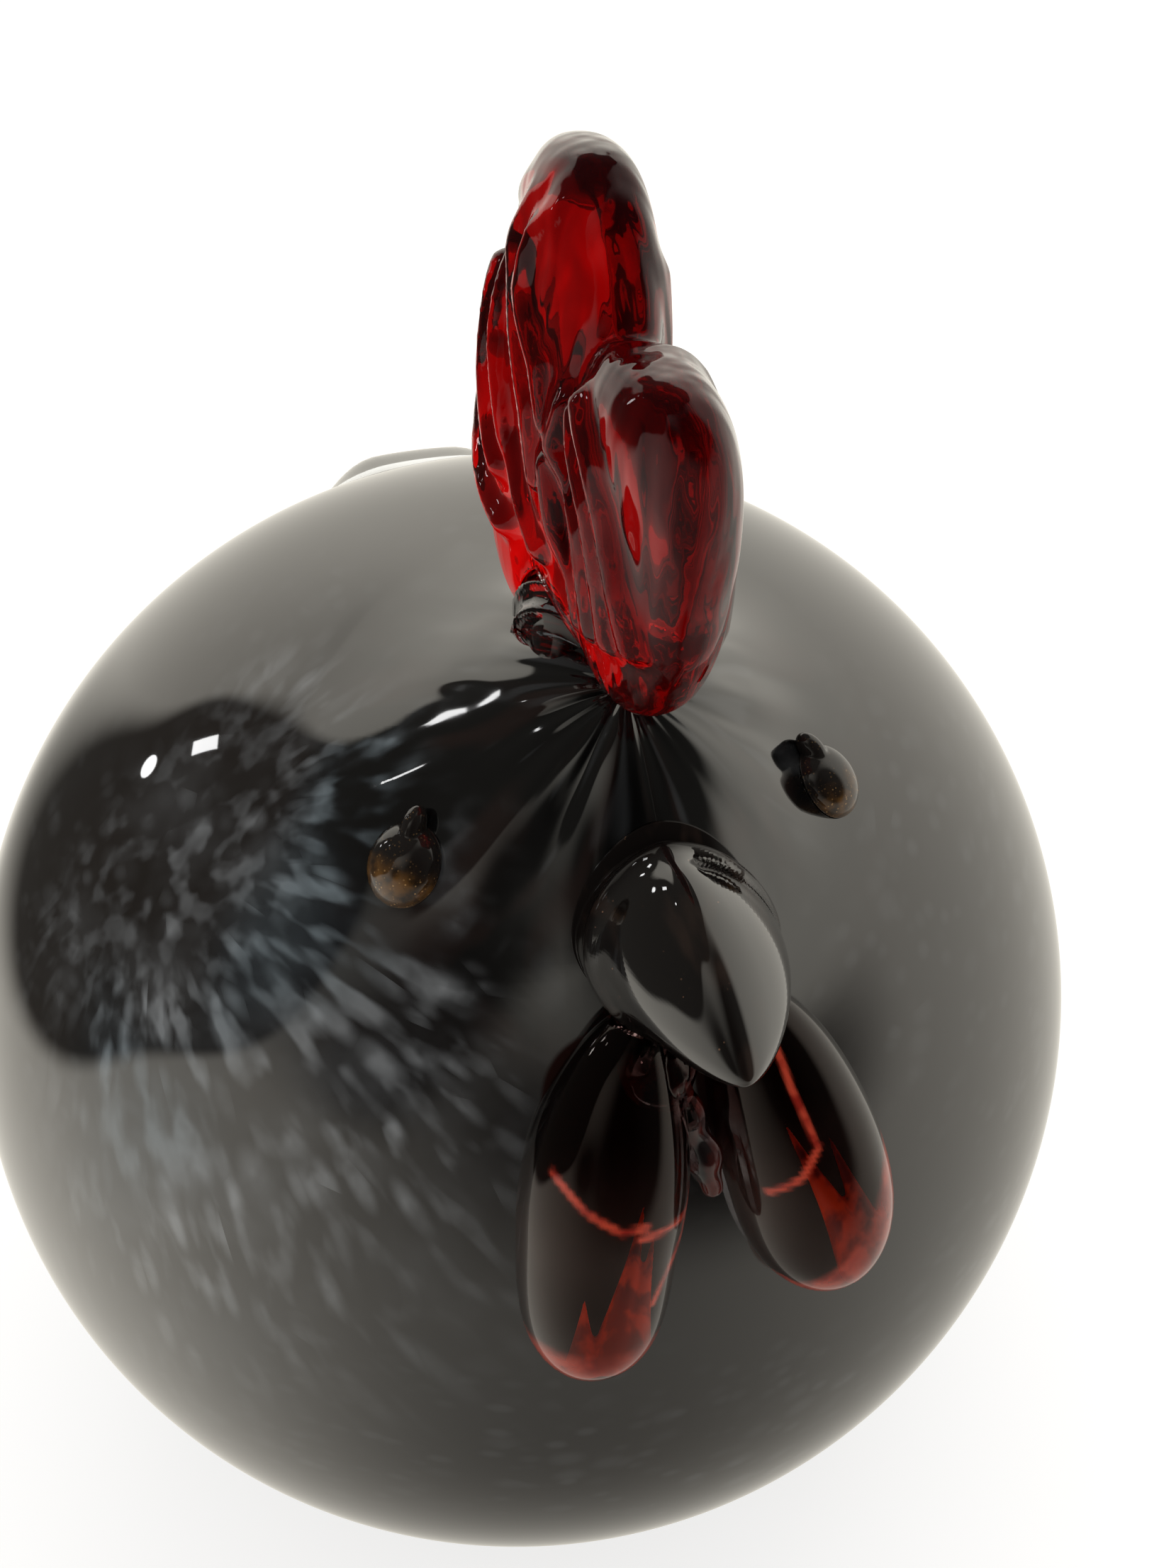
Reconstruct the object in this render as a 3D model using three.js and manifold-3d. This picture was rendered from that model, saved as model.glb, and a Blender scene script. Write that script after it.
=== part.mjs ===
import * as THREE from 'three';
import { mergeVertices } from 'three/addons/utils/BufferGeometryUtils.js';
import Module from 'manifold-3d';

const wasm = await Module();
wasm.setup();
const { Manifold, Mesh } = wasm;

// Driving dimensions in millimetres and degrees. The hen faces -Y and stands on z = 0.
// Tilts are measured from straight up, positive towards the front.
const CLEARANCE = 0.3;

const BODY_RADIUS = 72;
const BASE_FLAT_RADIUS = 30;
const CASING_THICKNESS = 4;
const COLOUR_THICKNESS = 4;
const FLOOR_THICKNESS = 5;
const PIPE_HOLE_RADIUS = 13;

const HEAD_BACK_TILT = 25;
const HEAD_FRONT_TILT = 43;
const HEAD_HEIGHT = 4;
const HEAD_SPREAD = 9;
const NECK_HEIGHT = 1.8;
const NECK_SPREAD = 22;
const CROWN_HEIGHT = 6.4;
const CROWN_SPREAD = 13;

const TAIL_TILT = -54;
const TAIL_HEIGHT = 11;
const TAIL_HALF_WIDTH = 4;
const TAIL_SIDE_SPREAD = 9;
const TAIL_THICKNESS_SPREAD = 11;

const COMB_TILT = 27;
const COMB_SINK = 5.8;
const COMB_HEIGHT = 44;
const COMB_LENGTH = 44;
const COMB_THICKNESS = 11;
const COMB_RIGHT_CREST_HEIGHT = 1.1;
const COMB_LEFT_CREST_HEIGHT = 0.6;
const COMB_CREST_WIDTH = 3.2;
const COMB_ROOT_LENGTH = 14;
const COMB_ROOT_WIDTH = 9.5;
const COMB_ROOT_HEIGHT = 15;
const COMB_ROOT_SIDE = -2.6;
const COMB_ROOT_BACK = 7;
const COMB_ROOT_RISE = 3.75;

const BEAK_TILT = 43;
const BEAK_SIDE_ANGLE = -0.1;
const BEAK_RADIUS = 8.45;
const BEAK_RING_RAISE = 0.7;
const BEAK_REACH = 11.5;
const BEAK_DROP = 7.2;
const BEAK_TIP_SIDE = 3.2;
const BEAK_ROOT_DEPTH = 5;
const BEAK_ARCH = 10.6;

const EYE_TILT = 33.8;
const EYE_SIDE_ANGLE = 16.3;
const EYE_WIDTH = 7;
const EYE_HEIGHT = 8;
const EYE_BULGE = 2.6;
const EYE_NIB_WIDTH = 2.2;
const EYE_NIB_LENGTH = 4.2;
const EYE_NIB_BULGE = 1.3;
const EYE_NIB_RISE = 3.6;
const EYE_NIB_LIFT = 0.9;

const WATTLE_TOP_TILT = 47;
const WATTLE_LEFT_END_TILT = 71.3;
const WATTLE_RIGHT_END_TILT = 73.2;
const WATTLE_TOP_SIDE = 3.4;
const WATTLE_END_SIDE = 9;
const WATTLE_LEAN = -0.6;
const WATTLE_WIDTH = 15.5;
const WATTLE_RISE = 9.2;
const WATTLE_AXIS_LIFT = 1.6;
const FLAME_AXIS_LIFT = 3.4;
const FLAME_TIP_RADIUS = 0.4;

const KNOB_RADIUS = 3.8;
const KNOB_LIFT = 1.3;
const KNOB_STRING_RADIUS = 1.7;

// Mesh fineness: rings and segments of each family of surfaces
const BODY_RINGS = 40;
const BODY_SEGMENTS = 56;
const INNER_RINGS = 18;
const INNER_SEGMENTS = 28;
const LOBE_RINGS = 20;
const LOBE_SEGMENTS = 26;
const CREST_RINGS = 14;
const CREST_SEGMENTS = 8;
const BEAK_RINGS = 18;
const BEAK_SEGMENTS = 28;
const DROP_RINGS = 16;
const DROP_SEGMENTS = 22;
const FLAME_RINGS = 10;
const FLAME_SEGMENTS = 10;
const KNOB_RINGS = 12;
const KNOB_SEGMENTS = 14;

const RADIANS = Math.PI / 180;
const BODY_CENTRE_HEIGHT = Math.sqrt(BODY_RADIUS ** 2 - BASE_FLAT_RADIUS ** 2);
const BODY_CENTRE = new THREE.Vector3(0, 0, BODY_CENTRE_HEIGHT);
const POLE_TILT = (HEAD_BACK_TILT + HEAD_FRONT_TILT) / 2;

// Conversions between triangle meshes and solids
function solidOf(geometry) {
  const bare = geometry.clone();
  bare.deleteAttribute('normal');
  bare.deleteAttribute('uv');
  const welded = mergeVertices(bare, 1e-5);
  return new Manifold(new Mesh({
    numProp: 3,
    vertProperties: new Float32Array(welded.attributes.position.array),
    triVerts: new Uint32Array(welded.index.array),
  }));
}

function geometryOf(solid) {
  const mesh = solid.getMesh();
  const geometry = new THREE.BufferGeometry();
  const positions = new Float32Array(mesh.numVert * 3);
  for (let i = 0; i < mesh.numVert; i += 1) {
    for (let k = 0; k < 3; k += 1) {
      positions[i * 3 + k] = mesh.vertProperties[i * mesh.numProp + k];
    }
  }
  geometry.setAttribute('position', new THREE.BufferAttribute(positions, 3));
  geometry.setIndex(new THREE.BufferAttribute(new Uint32Array(mesh.triVerts), 1));
  geometry.computeVertexNormals();
  return geometry;
}

// A closed surface from a first pole, rings of equal length and a last pole
function closedSurface(firstPole, rings, lastPole) {
  const count = rings[0].length;
  const points = [firstPole, ...rings.flat(), lastPole];
  const last = points.length - 1;
  const at = (ring, i) => 1 + ring * count + (i % count);
  const faces = [];
  for (let i = 0; i < count; i += 1) {
    faces.push(0, at(0, i), at(0, i + 1));
    for (let ring = 0; ring < rings.length - 1; ring += 1) {
      faces.push(at(ring, i), at(ring + 1, i), at(ring + 1, i + 1));
      faces.push(at(ring, i), at(ring + 1, i + 1), at(ring, i + 1));
    }
    faces.push(last, at(rings.length - 1, i + 1), at(rings.length - 1, i));
  }
  const geometry = new THREE.BufferGeometry();
  geometry.setAttribute('position', new THREE.Float32BufferAttribute(points.flatMap((p) => p.toArray()), 3));
  geometry.setIndex(faces);
  return geometry;
}

// Direction from the body's centre for a tilt towards the front and an angle to the side
function directionOf(tilt, side) {
  const t = tilt * RADIANS;
  const s = side * RADIANS;
  return new THREE.Vector3(Math.sin(s), -Math.sin(t) * Math.cos(s), Math.cos(t) * Math.cos(s));
}

// Shape of the body: a ball with the head drawn up at the front and the tail pinched out behind
function bodyRadius(direction) {
  const tilt = Math.atan2(-direction.y, direction.z) / RADIANS;
  const side = Math.asin(THREE.MathUtils.clamp(direction.x, -1, 1)) / RADIANS;
  const alongHead = Math.max(0, HEAD_BACK_TILT - tilt, tilt - HEAD_FRONT_TILT);
  const fromHead = Math.hypot(alongHead, side);
  const head = HEAD_HEIGHT * Math.exp(-((fromHead / HEAD_SPREAD) ** 2));
  const neck = NECK_HEIGHT * Math.exp(-((fromHead / NECK_SPREAD) ** 2));
  const fromCrown = Math.hypot(tilt - COMB_TILT, side) / CROWN_SPREAD;
  const crown = CROWN_HEIGHT * Math.exp(-(fromCrown ** 2));
  const acrossTail = (tilt - TAIL_TILT) / TAIL_THICKNESS_SPREAD;
  const besideTail = Math.max(0, Math.abs(side) - TAIL_HALF_WIDTH) / TAIL_SIDE_SPREAD;
  const tail = TAIL_HEIGHT * Math.exp(-(acrossTail ** 2) - besideTail ** 2);
  return BODY_RADIUS + head + neck + crown + tail;
}

function bodyPoint(tilt, side, offset = 0) {
  const direction = directionOf(tilt, side);
  return direction.multiplyScalar(bodyRadius(direction) + offset).add(BODY_CENTRE);
}

function bodyNormal(tilt, side) {
  const step = 0.5;
  const along = bodyPoint(tilt + step, side).sub(bodyPoint(tilt - step, side));
  const across = bodyPoint(tilt, side + step).sub(bodyPoint(tilt, side - step));
  return along.cross(across).normalize();
}

// Inside of the casing: one casing thickness in, and flat above the thick ground floor
function insideRadius(direction) {
  const wall = bodyRadius(direction) - CASING_THICKNESS;
  if (direction.z >= 0) {
    return wall;
  }
  const floor = (BODY_CENTRE_HEIGHT - FLOOR_THICKNESS) / -direction.z;
  const blend = 8;
  const gap = (wall - floor) / blend;
  return gap > 1 ? floor : gap < -1 ? wall : Math.min(wall, floor) - (blend * (1 - Math.abs(gap)) ** 2) / 4;
}

// Rings round the head, closer together at the head and at the tail
function bodySurface(radiusAt, ringCount, segmentCount) {
  const pole = directionOf(POLE_TILT, 0);
  const sideways = new THREE.Vector3(1, 0, 0);
  const backward = new THREE.Vector3().crossVectors(pole, sideways);
  const place = (polar, turn) => {
    const direction = pole.clone().multiplyScalar(Math.cos(polar));
    direction.addScaledVector(backward, Math.sin(polar) * Math.cos(turn));
    direction.addScaledVector(sideways, -Math.sin(polar) * Math.sin(turn));
    return direction.multiplyScalar(radiusAt(direction)).add(BODY_CENTRE);
  };
  const rings = [];
  for (let ring = 1; ring < ringCount; ring += 1) {
    const u = ring / ringCount;
    const polar = Math.PI * (u - 0.028 * Math.sin(4 * Math.PI * u));
    const points = [];
    for (let i = 0; i < segmentCount; i += 1) {
      const v = (2 * Math.PI * i) / segmentCount;
      points.push(place(polar, v - 0.2 * Math.sin(v) - 0.08 * Math.sin(2 * v)));
    }
    rings.push(points);
  }
  return solidOf(closedSurface(place(0, 0), rings, place(Math.PI, 0)));
}

function cylinderSolid(radius, low, high) {
  const geometry = new THREE.CylinderGeometry(radius, radius, high - low, 48);
  geometry.rotateX(Math.PI / 2);
  geometry.translate(0, 0, (low + high) / 2);
  return solidOf(geometry);
}

// A rounded solid swept along a path: each ring has its own centre, half width and half thickness
function sweptSolid(path, wide, thick, rings, segments, section) {
  const along = path.getPoint(1).sub(path.getPoint(0));
  const turnWay = new THREE.Vector3().crossVectors(wide, thick).dot(along) > 0 ? -1 : 1;
  const ringList = [];
  for (let ring = 1; ring < rings; ring += 1) {
    const u = (1 - Math.cos((Math.PI * ring) / rings)) / 2;
    const centre = path.getPoint(u);
    const points = [];
    for (let i = 0; i < segments; i += 1) {
      const turn = (turnWay * 2 * Math.PI * i) / segments;
      const [w, t] = section(u, turn);
      points.push(centre.clone().addScaledVector(wide, w).addScaledVector(thick, t));
    }
    ringList.push(points);
  }
  return solidOf(closedSurface(path.getPoint(0), ringList, path.getPoint(1)));
}

function dome(u, power) {
  return (1 - Math.abs(2 * u - 1) ** power) ** (1 / power);
}

// Body: clear casing over a smoke-coloured layer, both open at the pipe hole in the ground base
const bodyOutside = bodySurface(bodyRadius, BODY_RINGS, BODY_SEGMENTS);
const bodySeat = bodySurface((d) => bodyRadius(d) + CLEARANCE, BODY_RINGS, BODY_SEGMENTS);
const casingInside = bodySurface(insideRadius, INNER_RINGS, INNER_SEGMENTS);
const colourOutside = bodySurface((d) => insideRadius(d) - CLEARANCE, INNER_RINGS, INNER_SEGMENTS);
const colourInside = bodySurface(
  (d) => insideRadius(d) - CLEARANCE - COLOUR_THICKNESS,
  INNER_RINGS,
  INNER_SEGMENTS,
);
const belowGround = cylinderSolid(BODY_RADIUS * 2, -BODY_RADIUS, 0);
const pipeHole = cylinderSolid(PIPE_HOLE_RADIUS, -1, BODY_CENTRE_HEIGHT);
const casing = bodyOutside.subtract(belowGround).subtract(casingInside).subtract(pipeHole);
const colourLayer = colourOutside.subtract(colourInside).subtract(pipeHole);
const baseButton = cylinderSolid(PIPE_HOLE_RADIUS - CLEARANCE, 0, FLOOR_THICKNESS + COLOUR_THICKNESS);

// Comb: a thick tooled plate of three lobes standing on a small clear foot at the crown.
// Lobe places are given in comb thicknesses, lengths and heights from the crown.
const combSeat = bodyPoint(COMB_TILT, 0, -COMB_SINK);

function combPlace([x, y, z]) {
  return new THREE.Vector3(
    combSeat.x + x * COMB_THICKNESS,
    combSeat.y + y * COMB_LENGTH,
    combSeat.z + z * COMB_HEIGHT,
  );
}

function combLobe({ bottom, middle, top, halfLength, halfThickness, footShare, bluntness }) {
  const path = new THREE.QuadraticBezierCurve3(combPlace(bottom), combPlace(middle), combPlace(top));
  const lengthwise = new THREE.Vector3(0, 1, 0);
  const crosswise = new THREE.Vector3(1, 0, 0);
  const squareness = 0.85;
  return sweptSolid(path, lengthwise, crosswise, LOBE_RINGS, LOBE_SEGMENTS, (u, turn) => {
    const swell = dome(u, bluntness) * (footShare + (1 - footShare) * u);
    const w = Math.sign(Math.cos(turn)) * Math.abs(Math.cos(turn)) ** squareness;
    const t = Math.sign(Math.sin(turn)) * Math.abs(Math.sin(turn)) ** squareness;
    return [w * halfLength * COMB_LENGTH * swell, t * halfThickness * COMB_THICKNESS * swell];
  });
}

function combRootSolid(grow) {
  const geometry = new THREE.SphereGeometry(1, 20, 14);
  geometry.scale(
    COMB_ROOT_WIDTH / 2 + grow,
    COMB_ROOT_LENGTH / 2 + grow,
    COMB_ROOT_HEIGHT / 2 + grow,
  );
  geometry.translate(
    combSeat.x + COMB_ROOT_SIDE,
    combSeat.y + COMB_ROOT_BACK,
    combSeat.z + COMB_ROOT_RISE,
  );
  return solidOf(geometry);
}

const frontLobe = combLobe({
  bottom: [0.22, -0.05, 0.06],
  middle: [0.17, -0.16, 0.45],
  top: [-0.08, -0.23, 0.82],
  halfLength: 0.23,
  halfThickness: 0.5,
  footShare: 1,
  bluntness: 3.6,
});
const tallLobe = combLobe({
  bottom: [0, 0.13, 0.08],
  middle: [-0.14, 0.1, 0.5],
  top: [0.05, 0.21, 1.05],
  halfLength: 0.24,
  halfThickness: 0.53,
  footShare: 0.86,
  bluntness: 3,
});
const rearLobe = combLobe({
  bottom: [-0.3, 0.34, 0.05],
  middle: [-0.15, 0.38, 0.4],
  top: [-0.1, 0.38, 0.84],
  halfLength: 0.2,
  halfThickness: 0.48,
  footShare: 0.86,
  bluntness: 2.4,
});
const combWeb = combLobe({
  bottom: [0, 0.06, 0.12],
  middle: [0, 0.04, 0.4],
  top: [0, 0.03, 0.74],
  halfLength: 0.28,
  halfThickness: 0.36,
  footShare: 0.86,
  bluntness: 4,
});
const combPlate = frontLobe.add(tallLobe).add(rearLobe).add(combWeb);

// Crests squeezed up on the comb's faces: runs of length and height places on its right face,
// and even upright ones on its left face
const RIGHT_CRESTS = [
  [[0.27, 1], [0.36, 0.92], [0.38, 0.85], [0.35, 0.68], [0.27, 0.5], [0.2, 0.42], [0.08, 0.34]],
  [[0.13, 1.02], [0.2, 0.98], [0.24, 0.89], [0.2, 0.83], [0.17, 0.74], [0.1, 0.62], [0.06, 0.5]],
  [[0.07, 0.98], [0.15, 0.92], [0.16, 0.82], [0.13, 0.78], [0.06, 0.72], [0.02, 0.62]],
  [[0.45, 0.74], [0.42, 0.7], [0.4, 0.6], [0.36, 0.5], [0.3, 0.42]],
  [[0.5, 0.5], [0.48, 0.43], [0.42, 0.36], [0.28, 0.3]],
  [[-0.02, 0.67], [0, 0.59], [-0.04, 0.55], [-0.09, 0.47], [-0.12, 0.38], [-0.14, 0.28]],
  [[-0.1, 0.68], [-0.13, 0.62], [-0.17, 0.54], [-0.2, 0.41], [-0.2, 0.3]],
];
const LEFT_CRESTS = [-0.12, 0, 0.11, 0.22, 0.33].map((y) => [[y - 0.04, 0.32], [y, 0.5], [y + 0.04, 0.68]]);

const combFaces = new THREE.Mesh(geometryOf(combPlate), new THREE.MeshStandardMaterial());

function combCrest(places, side, height) {
  const inward = new THREE.Vector3(-side, 0, 0);
  const points = places.map(([y, z]) => {
    const ray = new THREE.Raycaster(combPlace([side * 2, y, z]), inward);
    return ray.intersectObject(combFaces)[0].point;
  });
  const path = new THREE.CatmullRomCurve3(points);
  const lengthwise = new THREE.Vector3(0, 1, 0);
  const crosswise = new THREE.Vector3(1, 0, 0);
  const bluntness = 2.5;
  return sweptSolid(path, lengthwise, crosswise, CREST_RINGS, CREST_SEGMENTS, (u, turn) => {
    const swell = dome(u, bluntness);
    return [(Math.cos(turn) * swell * COMB_CREST_WIDTH) / 2, Math.sin(turn) * swell * height];
  });
}

const crests = [
  ...RIGHT_CRESTS.map((places) => combCrest(places, -1, COMB_RIGHT_CREST_HEIGHT)),
  ...LEFT_CRESTS.map((places) => combCrest(places, 1, COMB_LEFT_CREST_HEIGHT)),
];
const combRoot = combRootSolid(0).subtract(bodySeat);
const comb = crests
  .reduce((plate, crest) => plate.add(crest), combPlate)
  .subtract(combRootSolid(CLEARANCE))
  .subtract(bodySeat);

// Beak: a stout cone with a soft keel, drawn forward and down from a round ring on the face
function beakSolid(grow) {
  const seat = bodyPoint(BEAK_TILT, BEAK_SIDE_ANGLE);
  const outward = bodyNormal(BEAK_TILT, BEAK_SIDE_ANGLE);
  const wide = new THREE.Vector3(1, 0, 0);
  const steep = new THREE.Vector3().crossVectors(outward, wide);
  const tip = seat.clone().add(new THREE.Vector3(BEAK_TIP_SIDE, -BEAK_REACH - grow, -BEAK_DROP));
  const start = seat.clone().addScaledVector(outward, -BEAK_ROOT_DEPTH);
  const rise = seat.clone().addScaledVector(outward, BEAK_ARCH);
  const path = new THREE.QuadraticBezierCurve3(start, rise, tip);
  const ringPlace = 0.24;
  const ringSpread = 0.05;
  const taper = 2.34;
  const tipBluntness = 0.8;
  const keel = 1.04;
  return sweptSolid(path, wide, steep, BEAK_RINGS, BEAK_SEGMENTS, (u, turn) => {
    const ring = BEAK_RING_RAISE * Math.exp(-(((u - ringPlace) / ringSpread) ** 2));
    const radius = BEAK_RADIUS * (1 - u ** taper) ** tipBluntness + ring + grow;
    const w = Math.sign(Math.cos(turn)) * Math.abs(Math.cos(turn)) ** keel;
    const t = Math.sign(Math.sin(turn)) * Math.abs(Math.sin(turn)) ** keel;
    return [w * radius, t * radius];
  });
}

const beak = beakSolid(0).subtract(bodySeat);

// Eyes: flattened dots pressed on the face, each with a short pulled point at its upper edge
function eyeSolid(sign) {
  const seat = bodyPoint(EYE_TILT, sign * EYE_SIDE_ANGLE);
  const outward = bodyNormal(EYE_TILT, sign * EYE_SIDE_ANGLE);
  const upward = new THREE.Vector3(-sign * 0.35, 0.3, 1).projectOnPlane(outward).normalize();
  const sideways = new THREE.Vector3().crossVectors(upward, outward);
  const frame = new THREE.Matrix4().makeBasis(sideways, upward, outward).setPosition(seat);
  const dot = new THREE.SphereGeometry(1, 18, 12);
  dot.scale(EYE_WIDTH / 2, EYE_HEIGHT / 2, EYE_BULGE);
  const nib = new THREE.SphereGeometry(1, 10, 8);
  nib.scale(EYE_NIB_WIDTH / 2, EYE_NIB_LENGTH / 2, EYE_NIB_BULGE);
  nib.translate(0, EYE_NIB_RISE, EYE_NIB_LIFT);
  dot.applyMatrix4(frame);
  nib.applyMatrix4(frame);
  return solidOf(dot).add(solidOf(nib)).subtract(bodySeat);
}

// Wattles: clear drops lying down the face below the beak, each with red flames run up from its tip
function wattlePoint(sign, u, across, lift) {
  const endTilt = sign > 0 ? WATTLE_LEFT_END_TILT : WATTLE_RIGHT_END_TILT;
  const tilt = WATTLE_TOP_TILT + (endTilt - WATTLE_TOP_TILT) * u;
  const bend = Math.sin((Math.PI / 2) * Math.min(1, u));
  const spread = WATTLE_TOP_SIDE + (WATTLE_END_SIDE - WATTLE_TOP_SIDE) * bend;
  const aside = across / (BODY_RADIUS * RADIANS);
  return bodyPoint(tilt, sign * spread + WATTLE_LEAN * u + aside, lift);
}

function pathFrame(path) {
  const down = path.getPoint(1).sub(path.getPoint(0)).normalize();
  const outward = path.getPoint(0.5).sub(BODY_CENTRE).projectOnPlane(down).normalize();
  return [new THREE.Vector3().crossVectors(outward, down), outward];
}

function wattleSolid(sign) {
  const points = [0, 0.25, 0.5, 0.75, 1].map((u) => wattlePoint(sign, u, 0, WATTLE_AXIS_LIFT));
  const path = new THREE.CatmullRomCurve3(points);
  const [wide, outward] = pathFrame(path);
  const widestFrom = 0.55;
  const endBluntness = 6;
  return sweptSolid(path, wide, outward, DROP_RINGS, DROP_SEGMENTS, (u, turn) => {
    const opening = Math.sqrt(Math.sin((Math.PI / 2) * Math.min(1, u / widestFrom)));
    const swell = opening * Math.sqrt(1 - u ** endBluntness);
    return [
      (Math.cos(turn) * swell * WATTLE_WIDTH) / 2,
      Math.sin(turn) * swell * (WATTLE_RISE - WATTLE_AXIS_LIFT),
    ];
  });
}

// Each flame: how far down and across the drop its apex and its foot lie and how wide its foot is,
// across and wide as shares of the drop's width
const FLAMES = {
  left: [
    { apex: [0.38, -0.08], foot: [0.95, 0.14], footWidth: 0.26 },
    { apex: [0.47, 0.09], foot: [0.94, 0.19], footWidth: 0.22 },
    { apex: [0.72, 0.23], foot: [0.93, 0.21], footWidth: 0.18 },
  ],
  right: [
    { apex: [0.45, 0.16], foot: [0.95, 0.065], footWidth: 0.26 },
    { apex: [0.52, 0.22], foot: [0.94, 0.14], footWidth: 0.22 },
    { apex: [0.7, -0.05], foot: [0.95, -0.05], footWidth: 0.2 },
  ],
};

// A flame runs on through the drop's tip, so the drop is open where the red was laid in
function flameSolid(sign, { apex, foot, footWidth }, grow) {
  const pastTip = 1.2;
  const bend = 1.3;
  const points = [0, 0.25, 0.5, 0.75, 1].map((v) => {
    const across = (apex[1] + (foot[1] - apex[1]) * v ** bend) * WATTLE_WIDTH;
    return wattlePoint(sign, apex[0] + (foot[0] - apex[0]) * v, across, FLAME_AXIS_LIFT);
  });
  points.push(wattlePoint(sign, pastTip, foot[1] * WATTLE_WIDTH, FLAME_AXIS_LIFT));
  const path = new THREE.CatmullRomCurve3(points);
  const [wide, outward] = pathFrame(path);
  const footPlace = 0.8;
  const flare = 1.5;
  return sweptSolid(path, wide, outward, FLAME_RINGS, FLAME_SEGMENTS, (u, turn) => {
    const opened = Math.min(1, u / footPlace) ** flare;
    const radius = FLAME_TIP_RADIUS + ((footWidth * WATTLE_WIDTH) / 2 - FLAME_TIP_RADIUS) * opened + grow;
    return [Math.cos(turn) * radius, Math.sin(turn) * radius];
  });
}

function flamesSolid(sign, grow) {
  const [first, second, third] = FLAMES[sign > 0 ? 'left' : 'right'];
  return flameSolid(sign, first, grow).add(flameSolid(sign, second, grow)).add(flameSolid(sign, third, grow));
}

// Throat knob: the small clear bit between the wattles that they were drawn from, a bulb below the
// beak and a lumpy string down the gap
function knobSolid(grow) {
  const degreesDownAndAside = [[2.3, -3.4], [4.5, -2.6], [7.5, -1.3], [11, -0.2], [14.5, 0.4]];
  const points = degreesDownAndAside.map(([down, side]) => {
    return bodyPoint(WATTLE_TOP_TILT + down, side, KNOB_LIFT);
  });
  const path = new THREE.CatmullRomCurve3(points);
  const [wide, outward] = pathFrame(path);
  const bulbPlace = 0.18;
  const bulbSpread = 0.2;
  const endBluntness = 3;
  return sweptSolid(path, wide, outward, KNOB_RINGS, KNOB_SEGMENTS, (u, turn) => {
    const bulb = (KNOB_RADIUS - KNOB_STRING_RADIUS) * Math.exp(-(((u - bulbPlace) / bulbSpread) ** 2));
    const radius = (bulb + KNOB_STRING_RADIUS) * dome(u, endBluntness) + grow;
    return [Math.cos(turn) * radius, Math.sin(turn) * radius];
  });
}

const beakSeat = beakSolid(CLEARANCE);
const throatKnob = knobSolid(0).subtract(bodySeat).subtract(beakSeat);
const wattleNeighbours = bodySeat.add(beakSeat).add(knobSolid(CLEARANCE));
const leftDrop = wattleSolid(1).subtract(wattleNeighbours);
const rightDrop = wattleSolid(-1).subtract(wattleNeighbours);
const leftWattle = leftDrop.subtract(flamesSolid(1, CLEARANCE));
const rightWattle = rightDrop.subtract(flamesSolid(-1, CLEARANCE));
const leftWattleCore = leftDrop.intersect(flamesSolid(1, 0));
const rightWattleCore = rightDrop.intersect(flamesSolid(-1, 0));

// Materials and the finished group
const clearGlass = new THREE.MeshStandardMaterial({ name: 'clear_glass', color: '#c9cdc8', roughness: 0.05 });
const smokeGlass = new THREE.MeshStandardMaterial({ name: 'smoke_glass', color: '#1d2124', roughness: 0.05 });
const redGlass = new THREE.MeshStandardMaterial({ name: 'red_glass', color: '#a3121c', roughness: 0.05 });
const amberGlass = new THREE.MeshStandardMaterial({ name: 'amber_glass', color: '#5b3c1c', roughness: 0.1 });
const brownGlass = new THREE.MeshStandardMaterial({ name: 'brown_glass', color: '#1e1613', roughness: 0.05 });

const figurine = new THREE.Group();

function addPiece(name, solid, material) {
  const mesh = new THREE.Mesh(geometryOf(solid), material);
  mesh.name = name;
  figurine.add(mesh);
}

addPiece('body_casing', casing, clearGlass);
addPiece('body_colour_layer', colourLayer, smokeGlass);
addPiece('base_button', baseButton, clearGlass);
addPiece('comb', comb, redGlass);
addPiece('comb_root', combRoot, clearGlass);
addPiece('beak', beak, brownGlass);
addPiece('eye_left', eyeSolid(1), amberGlass);
addPiece('eye_right', eyeSolid(-1), amberGlass);
addPiece('wattle_left', leftWattle, clearGlass);
addPiece('wattle_left_core', leftWattleCore, redGlass);
addPiece('wattle_right', rightWattle, clearGlass);
addPiece('wattle_right_core', rightWattleCore, redGlass);
addPiece('throat_knob', throatKnob, clearGlass);

export default figurine;
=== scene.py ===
import math

import bmesh
import bpy
import numpy as np
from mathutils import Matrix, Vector


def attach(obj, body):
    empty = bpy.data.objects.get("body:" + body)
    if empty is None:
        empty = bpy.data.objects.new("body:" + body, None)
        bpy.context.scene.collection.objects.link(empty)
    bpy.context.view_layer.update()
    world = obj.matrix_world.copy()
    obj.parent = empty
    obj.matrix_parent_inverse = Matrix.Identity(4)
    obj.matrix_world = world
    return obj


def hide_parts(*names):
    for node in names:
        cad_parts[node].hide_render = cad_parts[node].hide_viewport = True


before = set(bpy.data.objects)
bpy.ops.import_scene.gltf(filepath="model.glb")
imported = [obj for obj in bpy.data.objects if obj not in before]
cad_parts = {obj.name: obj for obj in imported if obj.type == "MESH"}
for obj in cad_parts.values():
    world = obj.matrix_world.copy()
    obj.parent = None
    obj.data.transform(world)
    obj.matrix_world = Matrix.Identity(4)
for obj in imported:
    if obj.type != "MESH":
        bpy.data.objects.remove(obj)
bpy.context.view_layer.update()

MM = 0.001


# ----------------------------------------
# Body casing: one gather of glass blown to a ball, drawn up to a small head at the crown and
# pinched with the jacks to a tail behind. Clear glass over a smoke-black layer with white chips,
# ground flat on the wheel underneath.

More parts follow.
